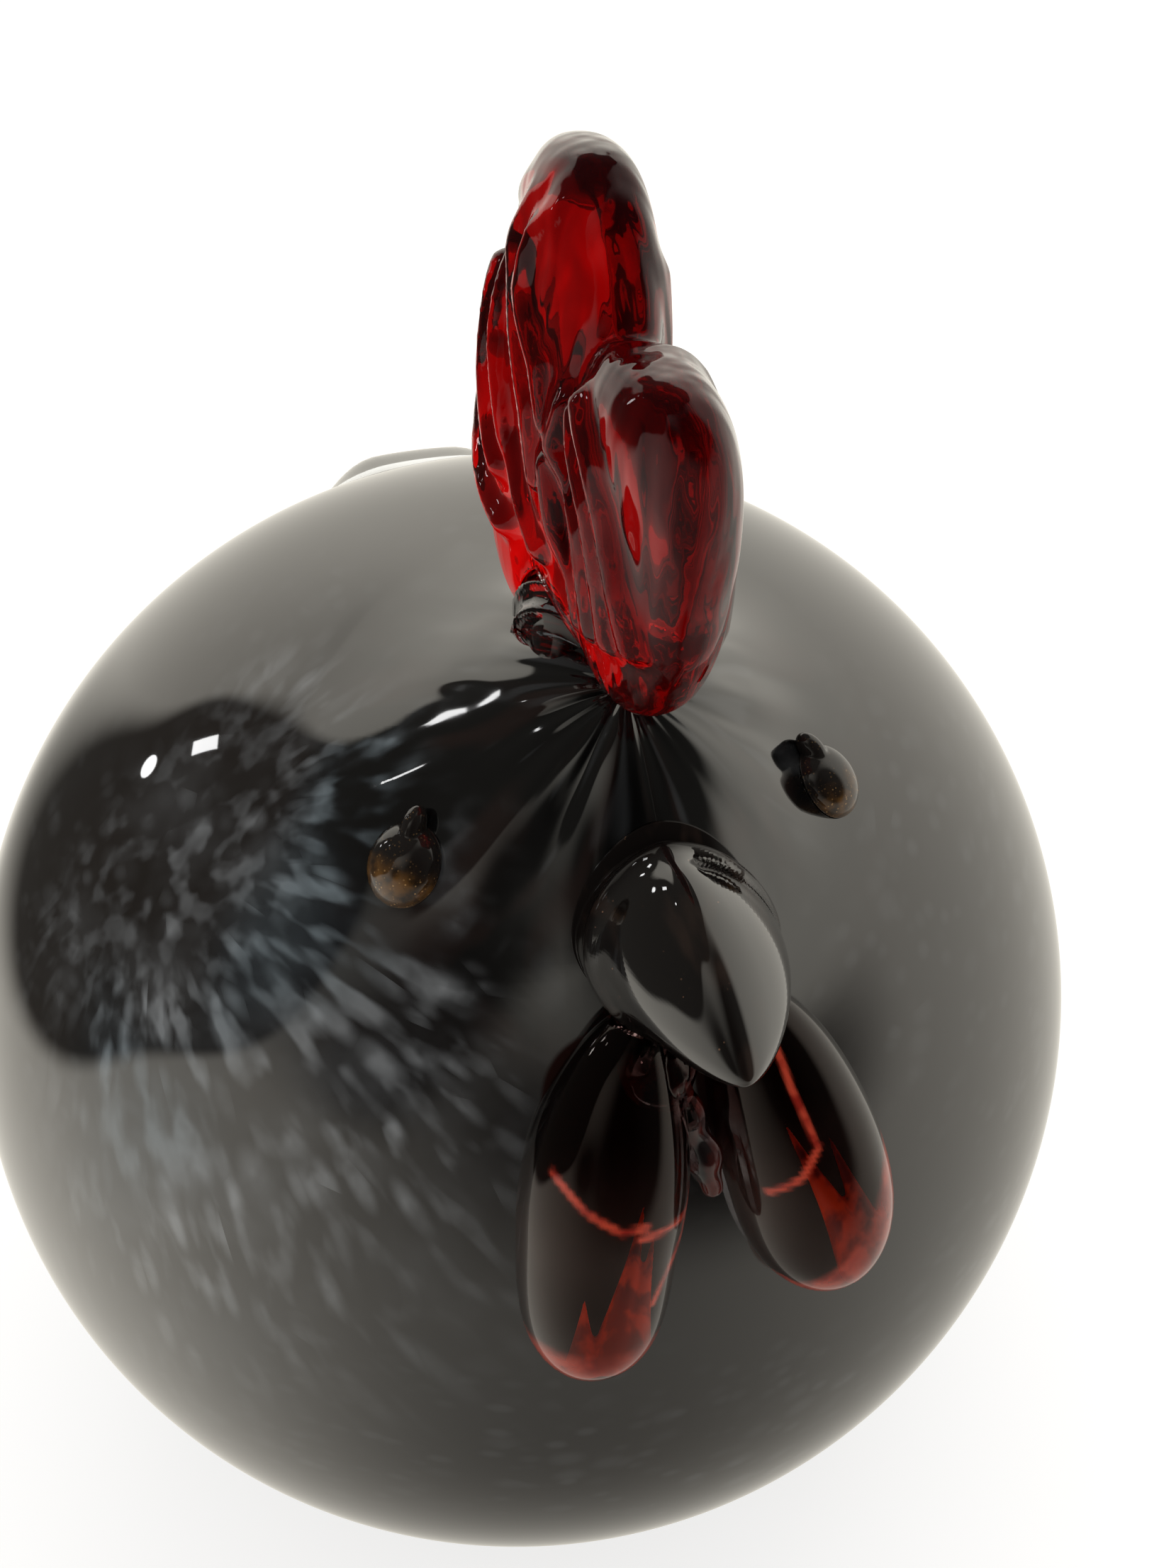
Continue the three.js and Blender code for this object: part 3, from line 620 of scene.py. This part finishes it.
# Crests that the jacks squeezed up on the hen's right face, each a run of (length, height) places
RIGHT_CRESTS = [
    [(0.27, 1.0), (0.36, 0.92), (0.38, 0.85), (0.35, 0.68), (0.27, 0.50), (0.20, 0.42),
     (0.08, 0.34)],
    [(0.09, 1.05), (0.20, 0.98), (0.24, 0.89), (0.20, 0.83), (0.17, 0.74), (0.10, 0.62),
     (0.06, 0.50)],
    [(0.03, 1.05), (0.15, 0.92), (0.16, 0.82), (0.13, 0.78), (0.06, 0.72), (0.02, 0.62)],
    [(0.45, 0.78), (0.42, 0.72), (0.40, 0.60), (0.36, 0.50), (0.30, 0.42)],
    [(0.54, 0.53), (0.50, 0.43), (0.42, 0.36), (0.28, 0.30)],
    [(-0.02, 0.67), (0.0, 0.59), (-0.04, 0.55), (-0.09, 0.47), (-0.12, 0.38), (-0.14, 0.28)],
    [(-0.07, 0.68), (-0.11, 0.62), (-0.17, 0.54), (-0.20, 0.41), (-0.22, 0.30)],
    [(-0.13, 0.72), (-0.20, 0.66), (-0.24, 0.58), (-0.26, 0.45), (-0.28, 0.32)],
    [(0.02, 0.55), (0.0, 0.43), (-0.05, 0.35), (-0.09, 0.27)],
]
LEFT_CRESTS = [
    [(0.1 * k - 0.22, 0.3), (0.1 * k - 0.2, 0.55), (0.11 * k - 0.16, 0.85)] for k in range(7)]
# Width and height of a crest on each face, and how far the tool sank the right one
RIGHT_CREST, LEFT_CREST, RIGHT_SUNK = (1.15 * MM, 1.5 * MM), (1.5 * MM, 0.7 * MM), 0.5 * MM


def beside(points, run, width):
    """1 on a run of places and exp(-(d / width)^2) at a distance d from it, seen from the side."""
    spots = (points[:, 1:] - COMB_SEAT[1:]) / COMB_SIZE[1]
    nearest = [np.linalg.norm(some[:, None] - dense_run(run)[None], axis=-1).min(axis=1)
               for some in np.array_split(spots, 8)]
    return np.exp(-(np.concatenate(nearest) * COMB_SIZE[1] / width) ** 2)


def tooled(points, normals):
    """The comb with its crests raised along the normals, most where a face looks sideways."""
    below_top = np.clip((1.0 - (points[:, 2] - COMB_SEAT[2]) / COMB_SIZE[2]) * 8, 0, 1)
    right = np.clip(-normals[:, 0] * 1.5 - 0.15, 0, 1) * below_top
    left = np.clip(normals[:, 0] * 1.5 - 0.3, 0, 1)
    raised = np.zeros(len(points))
    for runs, facing, (width, height) in (
            (RIGHT_CRESTS, right, RIGHT_CREST), (LEFT_CRESTS, left, LEFT_CREST)):
        for run in runs:
            raised = np.maximum(raised, beside(points, run, width) * facing * height)
    return points + normals * (raised - RIGHT_SUNK * right)[:, None]


comb_points = tooled(
    vectors_of(comb_mesh.vertices, "co"), vectors_of(comb_mesh.vertex_normals, "vector"))
comb_points = averaged(comb_mesh, comb_points, 2)
comb_points = kept_off(comb_points, ROOT_CENTRE, ROOT_HALF, -0.2 * MM)
comb_points = settled_on_body(comb_points, -0.4 * MM)
set_points(comb_mesh, comb_points)

comb_finish, places = new_finish("ruby_comb_glass")
cords = places.swirled(60.0, 6 * MM).stretched((1.0, 1.0, 0.22)).cloud(360.0, 1.0)
cords = cords + places.cloud(150.0, 0.0) * 1.5
streaks = places.swirled(70.0, 7 * MM).stretched((1.0, 0.7, 0.25)).cloud(260.0, 2.0)
seat_height = float(COMB_SEAT[2])
# Painted light: the comb's red is painted brighter near its foot, standing in for light coming
# through the glass there. The streaks are lighter red glass of its own.
lit_near_foot = places.part("Z").fade(seat_height + 24 * MM, seat_height + 9 * MM)
streaks_and_foot_light = (streaks.fade(0.40, 0.66) * 0.65 + lit_near_foot * 0.8).math("MINIMUM", 1.0)
ruby = places.principled(
    Base_Color=streaks_and_foot_light.tinted((0.26, 0.006, 0.014, 1), (0.97, 0.03, 0.03, 1)), Roughness=0.02,
    IOR=1.45, Transmission_Weight=0.95, Specular_Tint=(0.5, 0.42, 0.45, 1),
    Normal=cords.bump(1 * MM, 0.4))
ruby_depth = places.node("ShaderNodeVolumeAbsorption", (), {
    "Color": (0.92, 0.06, 0.14, 1), "Density": 640.0})
pour(ruby, ruby_depth)
glass_piece("comb_ruby", comb_mesh, "comb", comb_finish)


# ----------------------------------------
# Comb root: the small clear foot that holds the comb to the crown, a bit of clear glass pressed
# down with the corner of a tool, so it has faceted folds.

FOLD_DEPTH = 0.7 * MM


def ellipsoid(half, rows, columns):
    """Rings of an ellipsoid of given half sizes round its upright axis, and its two poles."""
    polar = np.linspace(0, math.pi, rows + 2)[1:-1]
    polar, around = np.meshgrid(polar, whole_turn(columns), indexing="ij")
    level = [np.sin(polar) * np.cos(around), np.sin(polar) * np.sin(around)]
    ball = np.stack(level + [np.cos(polar)], axis=-1)
    return ball * half, np.array([0, 0, half[2]]), np.array([0, 0, -half[2]])


root_rings, root_top, root_bottom = ellipsoid(ROOT_HALF, 60, 80)
direction = root_rings / ROOT_HALF
wave = 5 * direction[..., 1] + 4 * direction[..., 0] + 3 * direction[..., 2] ** 2
root_rings = root_rings - direction * (FOLD_DEPTH * np.abs(np.sin(wave)))[..., None]
root_mesh = glass_mesh(
    "root", *(part + ROOT_CENTRE for part in (root_rings, root_top, root_bottom)))
set_points(root_mesh, settled_on_body(vectors_of(root_mesh.vertices, "co"), -0.4 * MM))
root_finish, places = new_finish("clear_root_glass")
facets = places.stretched((1.0, 1.0, 0.6)).cells(330.0).bump(0.5 * MM, 0.8)
misty = places.cloud(300.0, 1.0).tinted((0.86, 0.88, 0.87, 1), (0.74, 0.77, 0.77, 1))
pour(places.principled(
    Base_Color=misty, Roughness=0.02, IOR=1.55, Transmission_Weight=1.0, Normal=facets))
glass_piece("comb_foot", root_mesh, "comb_root", root_finish)


# ----------------------------------------
# Beak: one stout cone of near-black brown glass, dropped on the face and drawn forward and down
# to a blunt tip. It stands in a thin dark ring where it was pressed on.

BEAK_RADIUS = 8.45 * MM
BEAK_TILT, BEAK_SIDE = 43.0, -0.1
DRAWN_OUT = np.array([-2.2, -4.2, 5.8]) * MM
# Height of the ring, its place along the beak and its spread as shares of the beak's length
RING_HEIGHT, RING_PLACE, RING_SPREAD = 0.7 * MM, 0.24, 0.05
BEAK_ROWS, BEAK_COLUMNS, BEAK_KEEL = 110, 140, 1.12
RIDGE_WIDTH, FLANK_SLOPE = 1.2 * MM, 0.55
LEFTWARD = np.array([1.0, 0, 0])


def swept(path, wide, thick, columns, keel=1.0):
    """An ellipse at each place of a path, path + wide cos a - thick sin a, where wide and thick are
    its half sizes as vectors. All three are (rows, 3) arrays. A keel above 1 takes the sine and the
    cosine to that power, which flattens the flanks and leaves a soft edge between them."""
    cos, sin = squarish(whole_turn(columns), keel)
    return path[:, None] + wide[:, None] * cos[:, None] - thick[:, None] * sin[:, None]


beak_seat = body_place(BEAK_TILT, BEAK_SIDE)
beak_out = body_outward(BEAK_TILT, BEAK_SIDE)
beak_up = np.cross(beak_out, LEFTWARD)
u = 1 - (1 - np.linspace(0, 1, BEAK_ROWS)) ** 1.6
beak_path = curved(
    beak_seat - beak_out * 5 * MM,
    beak_seat + beak_out * 11.6 * MM,
    beak_seat + np.array([2.7, -11.5, -7.2]) * MM,
    u,
)
beak_path = beak_path + DRAWN_OUT * u[:, None] ** 3
ring = RING_HEIGHT * np.exp(-((u - RING_PLACE) / RING_SPREAD) ** 2)
beak_swell = BEAK_RADIUS * (1 - u ** 2.34) ** 0.8 + ring
beak_wide, beak_steep = LEFTWARD * beak_swell[:, None], beak_up * beak_swell[:, None]
beak_rings = swept(beak_path, beak_wide, beak_steep, BEAK_COLUMNS, BEAK_KEEL)
beak_mesh = glass_mesh(
    "beak", settled_on_body(beak_rings[1:-1]), settled_on_body(beak_path[0]), beak_path[-1])

beak_finish, places = new_finish("dark_brown_beak_glass")
specks = places.cells(1500.0).fade(0.16, 0.08) * places.cloud(420.0, 1.0).fade(0.56, 0.72)
streaks = places.stretched((1.0, 0.25, 0.6)).cloud(420.0, 2.0).fade(0.52, 0.75)
brown = streaks.tinted((0.006, 0.0045, 0.004, 1), (0.02, 0.012, 0.009, 1))
speckled = specks.tinted(brown, (0.16, 0.085, 0.05, 1))

# A soft ridge runs from above the ring to the tip, and the flanks slope away from it
ridge_top = beak_seat + beak_out * 3 * MM + beak_up * 8 * MM
ridge = (beak_path[-1] - ridge_top) / np.linalg.norm(beak_path[-1] - ridge_top)
off_ridge = LEFTWARD - ridge * ridge[0]
off_ridge /= np.linalg.norm(off_ridge)
sideways = places.along(off_ridge) - float(off_ridge @ ridge_top)
fall = (sideways * sideways + RIDGE_WIDTH ** 2).math("SQRT")
flanks = (fall * -FLANK_SLOPE).bump(1.0)
cone_glass = places.principled(Base_Color=speckled, Roughness=0.03, IOR=1.8, Normal=flanks)
ring_glass = places.principled(Base_Color=speckled, Roughness=0.12, IOR=1.22)
off_face = places.along(beak_out) - float(beak_out @ beak_seat)
pour(off_face.fade(1.8 * MM, 3 * MM).mixed(ring_glass, cone_glass))
glass_piece("beak_glass", beak_mesh, "beak", beak_finish)


# ----------------------------------------
# Eyes: a dot of amber-brown glass with gold flecks pressed on each side of the face, with a clear
# lip and a short point where the rod was pulled away.

EYE_TILT, EYE_SIDE = 33.8, 16.3
EYE_HALF = np.array([3.5, 4.0, 2.6]) * MM
NIB_HALF = np.array([1.12, 2.08, 1.3]) * MM
NIB_LIFT = np.array([0, 3.6, 0.91]) * MM
EYE_VOXEL, EYE_SOFTNESS = 0.16 * MM, 5
LIP_BROWN, GOLD = (0.010, 0.008, 0.007, 1), (0.42, 0.24, 0.09, 1)

for side_name, sign in (("left", 1), ("right", -1)):
    eye_seat = body_place(EYE_TILT, EYE_SIDE * sign)
    eye_out = body_outward(EYE_TILT, EYE_SIDE * sign)
    eye_up = np.array([-sign * 0.35, 0.3, 1.0])
    eye_up = eye_up - eye_out * (eye_up @ eye_out)
    eye_up /= np.linalg.norm(eye_up)
    eye_frame = np.stack([np.cross(eye_up, eye_out), eye_up, eye_out])
    dot = glass_mesh("dot", *(part @ eye_frame + eye_seat for part in ellipsoid(EYE_HALF, 40, 64)))
    nib = glass_mesh("nib", *(
        (part + NIB_LIFT) @ eye_frame + eye_seat for part in ellipsoid(NIB_HALF, 24, 32)))
    eye_mesh = melted("eye_" + side_name, [dot, nib], EYE_VOXEL, EYE_SOFTNESS)
    set_points(eye_mesh, settled_on_body(vectors_of(eye_mesh.vertices, "co"), 0.1 * MM))

    eye_finish, places = new_finish("amber_eye_glass_" + side_name)
    upward = places.along(eye_up) - float(eye_up @ eye_seat)
    flecks = places.cells(2600.0).fade(0.30, 0.12) * places.cloud(900.0, 2.0).fade(0.40, 0.60)
    amber = places.cloud(700.0, 3.0).fade(0.3, 0.7).tinted(
        (0.015, 0.008, 0.004, 1), (0.13, 0.058, 0.014, 1))
    filled = (upward + places.cloud(400.0, 1.0) * (3 * MM)).fade(2.4 * MM, -0.4 * MM)
    iris = (flecks * (filled * 0.7 + 0.15)).tinted(filled.tinted(LIP_BROWN, amber), GOLD)
    pour(places.principled(Base_Color=iris, Roughness=0.05, IOR=1.6))
    glass_piece("eye_glass_" + side_name, eye_mesh, "eye_" + side_name, eye_finish)


# ----------------------------------------
# Wattles: two clear drops let down below the beak, each with a red cone inside that was drawn up
# from its tip, and red thread caught round it.

# Tilts at which the drops start and end, their side angle there, and how much more they spread
WATTLE_START, LEFT_END, RIGHT_END = 47, 71.3, 73.2
WATTLE_OFF, WATTLE_SPREAD = 3.4, 5.6


def wattle_path(sign, u, lift):
    """Points down the face from under the beak, spread sideways as a quarter sine."""
    end = LEFT_END if sign > 0 else RIGHT_END
    spread = WATTLE_OFF + WATTLE_SPREAD * np.sin(math.pi / 2 * u)
    return body_place(WATTLE_START + (end - WATTLE_START) * u, sign * spread - 0.6 * u, lift)


def wattle_sides(path):
    """Directions across the drop and out of the face at each place of its path."""
    down = np.gradient(path, axis=0)
    down /= np.linalg.norm(down, axis=-1, keepdims=True)
    out = path - BODY_CENTRE
    out -= down * np.sum(out * down, axis=-1, keepdims=True)
    out /= np.linalg.norm(out, axis=-1, keepdims=True)
    return np.cross(out, down), out


def strand(path, half_width, half_depth, columns):
    """An ellipse of given half sizes at each place of a path down the face."""
    wide, out = wattle_sides(path)
    return swept(path, wide * half_width[:, None], out * half_depth[:, None], columns)


def clear_of(points, path, swell, gap=0.3 * MM):
    """Points inside a swept form are pushed straight away from the nearest place of its axis."""
    flat_points = points.reshape(-1, 3)
    distance = np.linalg.norm(flat_points[:, None] - path[None], axis=-1)
    nearest = np.argmin(distance, axis=1)
    radius = swell[nearest] + gap
    gone = distance[np.arange(len(nearest)), nearest]
    axis = path[nearest]
    moved = axis + (flat_points - axis) * np.maximum(1, radius / np.maximum(gone, 1e-9))[:, None]
    return moved.reshape(points.shape)


def in_drop(sign, u, across, lift):
    """Points in a drop: down its path at u, moved sideways and lifted off the face."""
    spine = wattle_path(sign, np.linspace(0, 1, 50), lift)
    wide, _ = wattle_sides(spine)
    row = np.clip(np.round(u * 49).astype(int), 0, 49)
    return wattle_path(sign, u, lift) + wide[row] * across[:, None]


# The bit between the drops, which they keep off: its tilts and sides, and its swell along it
KNOB_PLACES = np.array([[49.3, -3.4], [51.5, -2.6], [54.5, -1.3], [58.0, -0.2], [61.5, 0.4]])
knob_u = eased(70)
knob_path = body_place(
    *(np.interp(knob_u, np.linspace(0, 1, 5), KNOB_PLACES[:, k]) for k in (0, 1)), 1.3 * MM)
knob_swell = (2.1 * np.exp(-((knob_u - 0.18) / 0.2) ** 2) + 1.7 + 0.25 * np.sin(26 * knob_u)) * MM
knob_swell = knob_swell * (1 - np.abs(2 * knob_u - 1) ** 3) ** (1 / 3)

# Half width, half depth and length of a drop in mm, and the rows and columns of its skin
DROP_WIDE, DROP_DEEP, DROP_LONG = 7.75, 7.6, 33
DROP_ROWS, DROP_COLUMNS = 130, 160
FLAME_ROWS, FLAME_COLUMNS = 50, 32
FLAME_VOXEL, FLAME_SOFTNESS = 0.16 * MM, 4
# How far the middles of a drop and of its flames are off the face, and half a thread's width in mm
DROP_LIFT, FLAME_LIFT, THREAD_HALF = 1.6 * MM, 3.4 * MM, 0.32
# Each flame: (u, across in mm) of its apex and of its foot, and its half width at the foot in mm
FLAMES = {
    "right": [((0.45, 2.5), (0.93, 1.0), 2.0), ((0.52, 3.4), (0.92, 2.2), 1.7),
              ((0.70, -0.8), (0.93, -0.8), 1.6)],
    "left": [((0.38, -1.2), (0.93, 2.2), 2.0), ((0.47, 1.4), (0.92, 3.0), 1.7),
             ((0.72, 3.6), (0.90, 3.2), 1.4)],
}
# Red threads caught on each drop: runs of (u, across in mm) places
THREADS = {
    "right": [[(0.36, -5.4), (0.42, -2.6), (0.46, 0.6), (0.45, 2.9)],
              [(0.48, 2.4), (0.47, 5.0), (0.46, 7.4)], [(0.35, 7.6), (0.52, 7.0), (0.68, 4.4)]],
    "left": [[(0.50, -6.0), (0.47, -3.4), (0.40, -1.2)], [(0.08, -0.4), (0.22, -1.2), (0.38, -1.3)],
             [(0.86, -5.8), (0.93, -3.6), (0.97, -0.6)]],
}
# Where the red cap of a tip starts down its drop, how that leans across it, and where its flame is
CAPS = {"right": (26.4, 0.0, 0.8), "left": (23.5, 1.0, 1.2)}

core_finish, places = new_finish("red_flame_glass")
flame = places.stretched((1.0, 1.0, 0.3)).cloud(600.0, 3.0).fade(0.40, 0.60)
# Painted light: the red is painted brighter at the flames' grazing edges and lower down, over the
# glass's own mottling.
edge = places.node("ShaderNodeLayerWeight", (), {"Blend": 0.35}, out="Facing")
lit_lower_down = places.part("Z").fade(101 * MM, 91 * MM)
mottle_and_painted_light = (flame * 0.5 + edge * 0.4 + lit_lower_down * 0.35).tinted(
    (0.10, 0.002, 0.002, 1), (1.0, 0.055, 0.004, 1))
pour(places.principled(Base_Color=mottle_and_painted_light, Roughness=0.3, IOR=1.12))

for side_name, sign in (("left", 1), ("right", -1)):
    u = eased(DROP_ROWS)
    swell = np.sin(math.pi / 2 * np.minimum(1, u / 0.55)) ** 0.5
    swell = swell * np.sqrt(np.maximum(0, 1 - u ** 6))
    swell = swell * (1 + 0.03 * np.sin(9 * u + sign))
    rings = strand(wattle_path(sign, u, DROP_LIFT), DROP_WIDE * MM * swell,
                   DROP_DEEP * MM * swell, DROP_COLUMNS)
    rings = clear_of(clear_of(rings, beak_path, beak_swell), knob_path, knob_swell, 0.05 * MM)
    rings = settled_on_body(rings, -0.4 * MM)
    drop_mesh = glass_mesh(
        "wattle_" + side_name, rings[1:-1], rings[0].mean(axis=0), rings[-1].mean(axis=0))

    # The red of its cap and threads goes on the points, as a stain that the glass reads
    across = (swell[:, None] * np.cos(whole_turn(DROP_COLUMNS)) * DROP_WIDE)[1:-1]
    along = np.repeat(u[1:-1, None], DROP_COLUMNS, axis=1)
    start, lean, flame_at = CAPS[side_name]
    red = 0.75 * np.clip((along * DROP_LONG + across * lean - start) / 1.5, 0, 1)
    red = red * (1 - 0.8 * np.exp(-((across - flame_at) / 2.3) ** 2))
    for thread in THREADS[side_name]:
        down_run, across_run = dense_run(thread).T
        gap = np.hypot(
            (along[..., None] - down_run) * DROP_LONG, across[..., None] - across_run)
        red = np.maximum(red, np.exp(-(gap.min(axis=-1) / THREAD_HALF) ** 4) * 0.8)
    stain = drop_mesh.attributes.new("stain", "FLOAT", "POINT")
    stain.data.foreach_set("value", np.append(red.ravel(), [0, 0.7]).astype(np.float32))

    drop_finish, places = new_finish("clear_wattle_glass_" + side_name)
    stained = places.node("ShaderNodeAttribute", {"attribute_name": "stain"}, out="Fac")
    # Painted shade: the drop's glass is tinted darker towards the top, by the beak, over a faint
    # mottling of its own.
    mottle_and_shade = places.cloud(200.0, 2.0) * 0.2 + places.part("Z").fade(101 * MM, 109 * MM) * 0.9
    clear = places.principled(
        Base_Color=mottle_and_shade.tinted((0.96, 0.88, 0.85, 1), (0.20, 0.09, 0.08, 1)), Roughness=0.02,
        IOR=1.42, Transmission_Weight=1.0, Specular_Tint=(0.70, 0.60, 0.55, 1))
    thread_red = places.cloud(500.0, 2.0).fade(0.35, 0.6).tinted(
        (0.32, 0.02, 0.012, 1), (0.62, 0.07, 0.035, 1))
    pour(stained.mixed(
        clear, places.principled(Base_Color=thread_red, Roughness=0.04, IOR=1.5)))
    glass_piece(
        "wattle_drop_" + side_name, drop_mesh, "wattle_" + side_name, drop_finish)

    # Each flame is a spike from its apex down to its foot, and the three are melted together
    spikes = []
    v = eased(FLAME_ROWS)
    for apex, foot, half in FLAMES[side_name]:
        spike_u = apex[0] + (foot[0] - apex[0]) * v
        spike_across = (apex[1] + (foot[1] - apex[1]) * v ** 1.3) * MM
        spike_path = in_drop(sign, spike_u, spike_across, FLAME_LIFT)
        girth = half * MM * (0.10 + 0.90 * v ** 1.5)
        girth = girth * np.sqrt(np.maximum(0, 1 - (2 * v - 1) ** 8))
        spike = strand(spike_path, girth, girth, FLAME_COLUMNS)
        spikes.append(glass_mesh("spike", spike[1:-1], spike_path[0], spike_path[-1]))
    core_mesh = melted("core_" + side_name, spikes, FLAME_VOXEL, FLAME_SOFTNESS)
    glass_piece("wattle_flame_" + side_name, core_mesh, "wattle_" + side_name + "_core",
                core_finish)


# ----------------------------------------
# Throat knob: the small bit between the wattles that they were drawn from, clear over dark red. A
# bulb below the beak runs out in a lumpy string down the gap.

knob_rings = strand(knob_path, knob_swell, knob_swell, 48)
knob_rings = settled_on_body(clear_of(knob_rings, beak_path, beak_swell), -0.2 * MM)
knob_mesh = glass_mesh(
    "knob", knob_rings[1:-1], knob_rings[0].mean(axis=0), knob_rings[-1].mean(axis=0))
knob_finish, places = new_finish("dark_red_knob_glass")
smear = places.stretched((1.0, 1.0, 0.4)).cloud(400.0, 2.0).fade(0.4, 0.62)
dark_red = smear.tinted((0.01, 0.007, 0.007, 1), (0.07, 0.008, 0.005, 1))
pour(places.principled(Base_Color=dark_red, Roughness=0.03, IOR=1.6))
glass_piece("knob_glass", knob_mesh, "throat_knob", knob_finish)


# ----------------------------------------
# Studio: a pale floor, a plain light tent with dark and bright cards that show only in the glass,
# and small lamps.

FLOOR_RADII = np.array([0.05, 0.2, 0.6, 1.5, 4.0])
FLOOR_COLUMNS = 96
FLOOR_DROP = 0.0002
# Strengths of the floor and the tent as the camera, the gloss and the inside of the glass see them
FLOOR_LIGHT, TENT_LIGHT, PLAIN_LIGHT, INNER_LIGHT = 0.68, 1.16, 0.72, 0.75


def toward(azimuth, elevation):
    """Direction at an azimuth from the front (-Y), positive to the hen's left, and an elevation."""
    a, e = math.radians(azimuth), math.radians(elevation)
    return np.array([math.sin(a) * math.cos(e), -math.cos(a) * math.cos(e), math.sin(e)])


floor_x = FLOOR_RADII[:, None] * np.cos(whole_turn(FLOOR_COLUMNS))
floor_y = FLOOR_RADII[:, None] * np.sin(whole_turn(FLOOR_COLUMNS))
floor_points = np.stack([floor_x, floor_y, np.full(floor_x.shape, -FLOOR_DROP)], axis=-1)
floor_faces = ring_faces(len(FLOOR_RADII), FLOOR_COLUMNS).tolist()
floor_mesh = bpy.data.meshes.new("floor")
floor_mesh.from_pydata(
    floor_points.reshape(-1, 3).tolist(), [], [list(range(FLOOR_COLUMNS))] + floor_faces)
floor = in_scene("floor", floor_mesh)
floor.visible_glossy = False
floor_finish, places = new_finish("pale_floor")
seen = places.node("ShaderNodeLightPath", out="Is Camera Ray")
straight = seen.math("MAXIMUM", places.node("ShaderNodeLightPath", out="Is Transmission Ray"))
matt = places.node("ShaderNodeBsdfDiffuse", (), {"Color": (0.5, 0.49, 0.47, 1)})
white = places.node("ShaderNodeEmission", (), {
    "Color": (1, 1, 1, 1), "Strength": straight * FLOOR_LIGHT})
pour(places.node("ShaderNodeAddShader", (), {0: matt, 1: white}))
floor_mesh.materials.append(floor_finish)

world = bpy.data.worlds.new("light_tent")
bpy.context.scene.world = world
world.use_nodes = True
world.cycles.sampling_method = "NONE"
world.node_tree.nodes.clear()
around = Tint(world.node_tree.nodes.new("ShaderNodeTexCoord").outputs["Generated"])
seen, is_glossy, is_through = (
    around.node("ShaderNodeLightPath", out=f"Is {kind} Ray")
    for kind in ("Camera", "Glossy", "Transmission"))
straight = seen.math("MAXIMUM", is_through)


def card(azimuth, elevation, reach):
    """1 in the middle of a round card seen in that direction, falling to 1/e at its reach."""
    facing = around.along(toward(azimuth, elevation))
    sharpness = 1 / (1 - math.cos(math.radians(reach)))
    return ((facing - 1.0) * sharpness).math("EXPONENT")


def cards(*rows):
    """Cards added up, each given by its azimuth, elevation, reach and strength."""
    return sum(card(*place) * strength for *place, strength in rows)


dark_side = cards((-153, -21, 50, 0.5), (-112, 8, 25, 0.69), (-83, 26, 20, 0.74),
                  (-94, 69, 22, 1.6), (-125, 30, 11, 0.42), (170, 66, 26, 1.4))
dark_front = cards((23, 26, 38, 1.47), (-50, 20, 15, 0.55))
lit = dark_side.fade(0.56, 0.47) * (dark_side * 0.6 + dark_front).fade(0.64, 0.25)
tent = cards((184, 35, 20, 0.46), (-81, -42, 34, 0.84)) + TENT_LIGHT
shade_below = 1.0 - card(-11, -62, 57) * 0.76
shade_before = 1.0 - (card(-9, 23, 43) * 1.2).math("MINIMUM", 0.95)
tent = tent * (lit * 0.93 + 0.07) * shade_below * shade_before

# Gloss shows the tent, and so does light that the glass turns back. Other rays meet a plain level
onward = around.along(toward(166, -46)).fade(-0.1, 0.35)
turned_back = is_through * (1.0 - onward)
level = is_glossy * tent + (1.0 - is_glossy) * PLAIN_LIGHT
level = straight + (1.0 - straight) * level
level = level * (1.0 - turned_back) + tent * INNER_LIGHT * turned_back
warm = (is_glossy * (1.0 - is_through)).tinted((1, 1, 1, 1), (1.0, 0.955, 0.85, 1))
sky = around.node("ShaderNodeBackground", (), {"Color": warm, "Strength": level})
pour(sky, kind="World")


def lamp(name, azimuth, elevation, distance, width, height, radiance, glossy=True):
    """A soft box that faces the body from a direction, of a size in metres and a radiance. One
    as wide as it is high is round."""
    light = bpy.data.lights.new(name, "AREA")
    light.shape = "RECTANGLE" if width != height else "DISK"
    light.size = width
    light.size_y = height
    area = width * height * (1 if width != height else math.pi / 4)
    light.energy = radiance * area * math.pi
    place = BODY_CENTRE + toward(azimuth, elevation) * distance
    holder = in_scene(name, light)
    holder.location = place
    holder.rotation_euler = Vector(BODY_CENTRE - place).to_track_quat("-Z", "Y").to_euler()
    holder.visible_glossy = glossy


lamp("overhead_box", 150, 62, 1.2, 1.1, 1.0, 0.9, glossy=False)
lamp("long_lamp", -127, 31, 1.5, 0.065, 0.13, 9)
lamp("round_lamp", -128, 19, 1.5, 0.09, 0.09, 9)
lamp("small_lamp", -111, 42, 1.5, 0.05, 0.05, 9)

# The camera's place is in body radii from the body's centre, and its angles are in degrees
CAMERA_PLACE, CAMERA_TILT, CAMERA_TURN = np.array([-0.448, -1.829, 1.950]), 51.808, -17.326
camera = bpy.data.cameras.new("camera")
camera.lens = 30.92
camera.sensor_width = 36
camera.clip_start = 0.005
camera.clip_end = 50
viewpoint = in_scene("camera", camera)
viewpoint.location = BODY_CENTRE + BODY_RADIUS * CAMERA_PLACE
viewpoint.rotation_euler = (math.radians(CAMERA_TILT), 0, math.radians(CAMERA_TURN))
bpy.context.scene.camera = viewpoint
bpy.context.scene.view_settings.view_transform = "Standard"
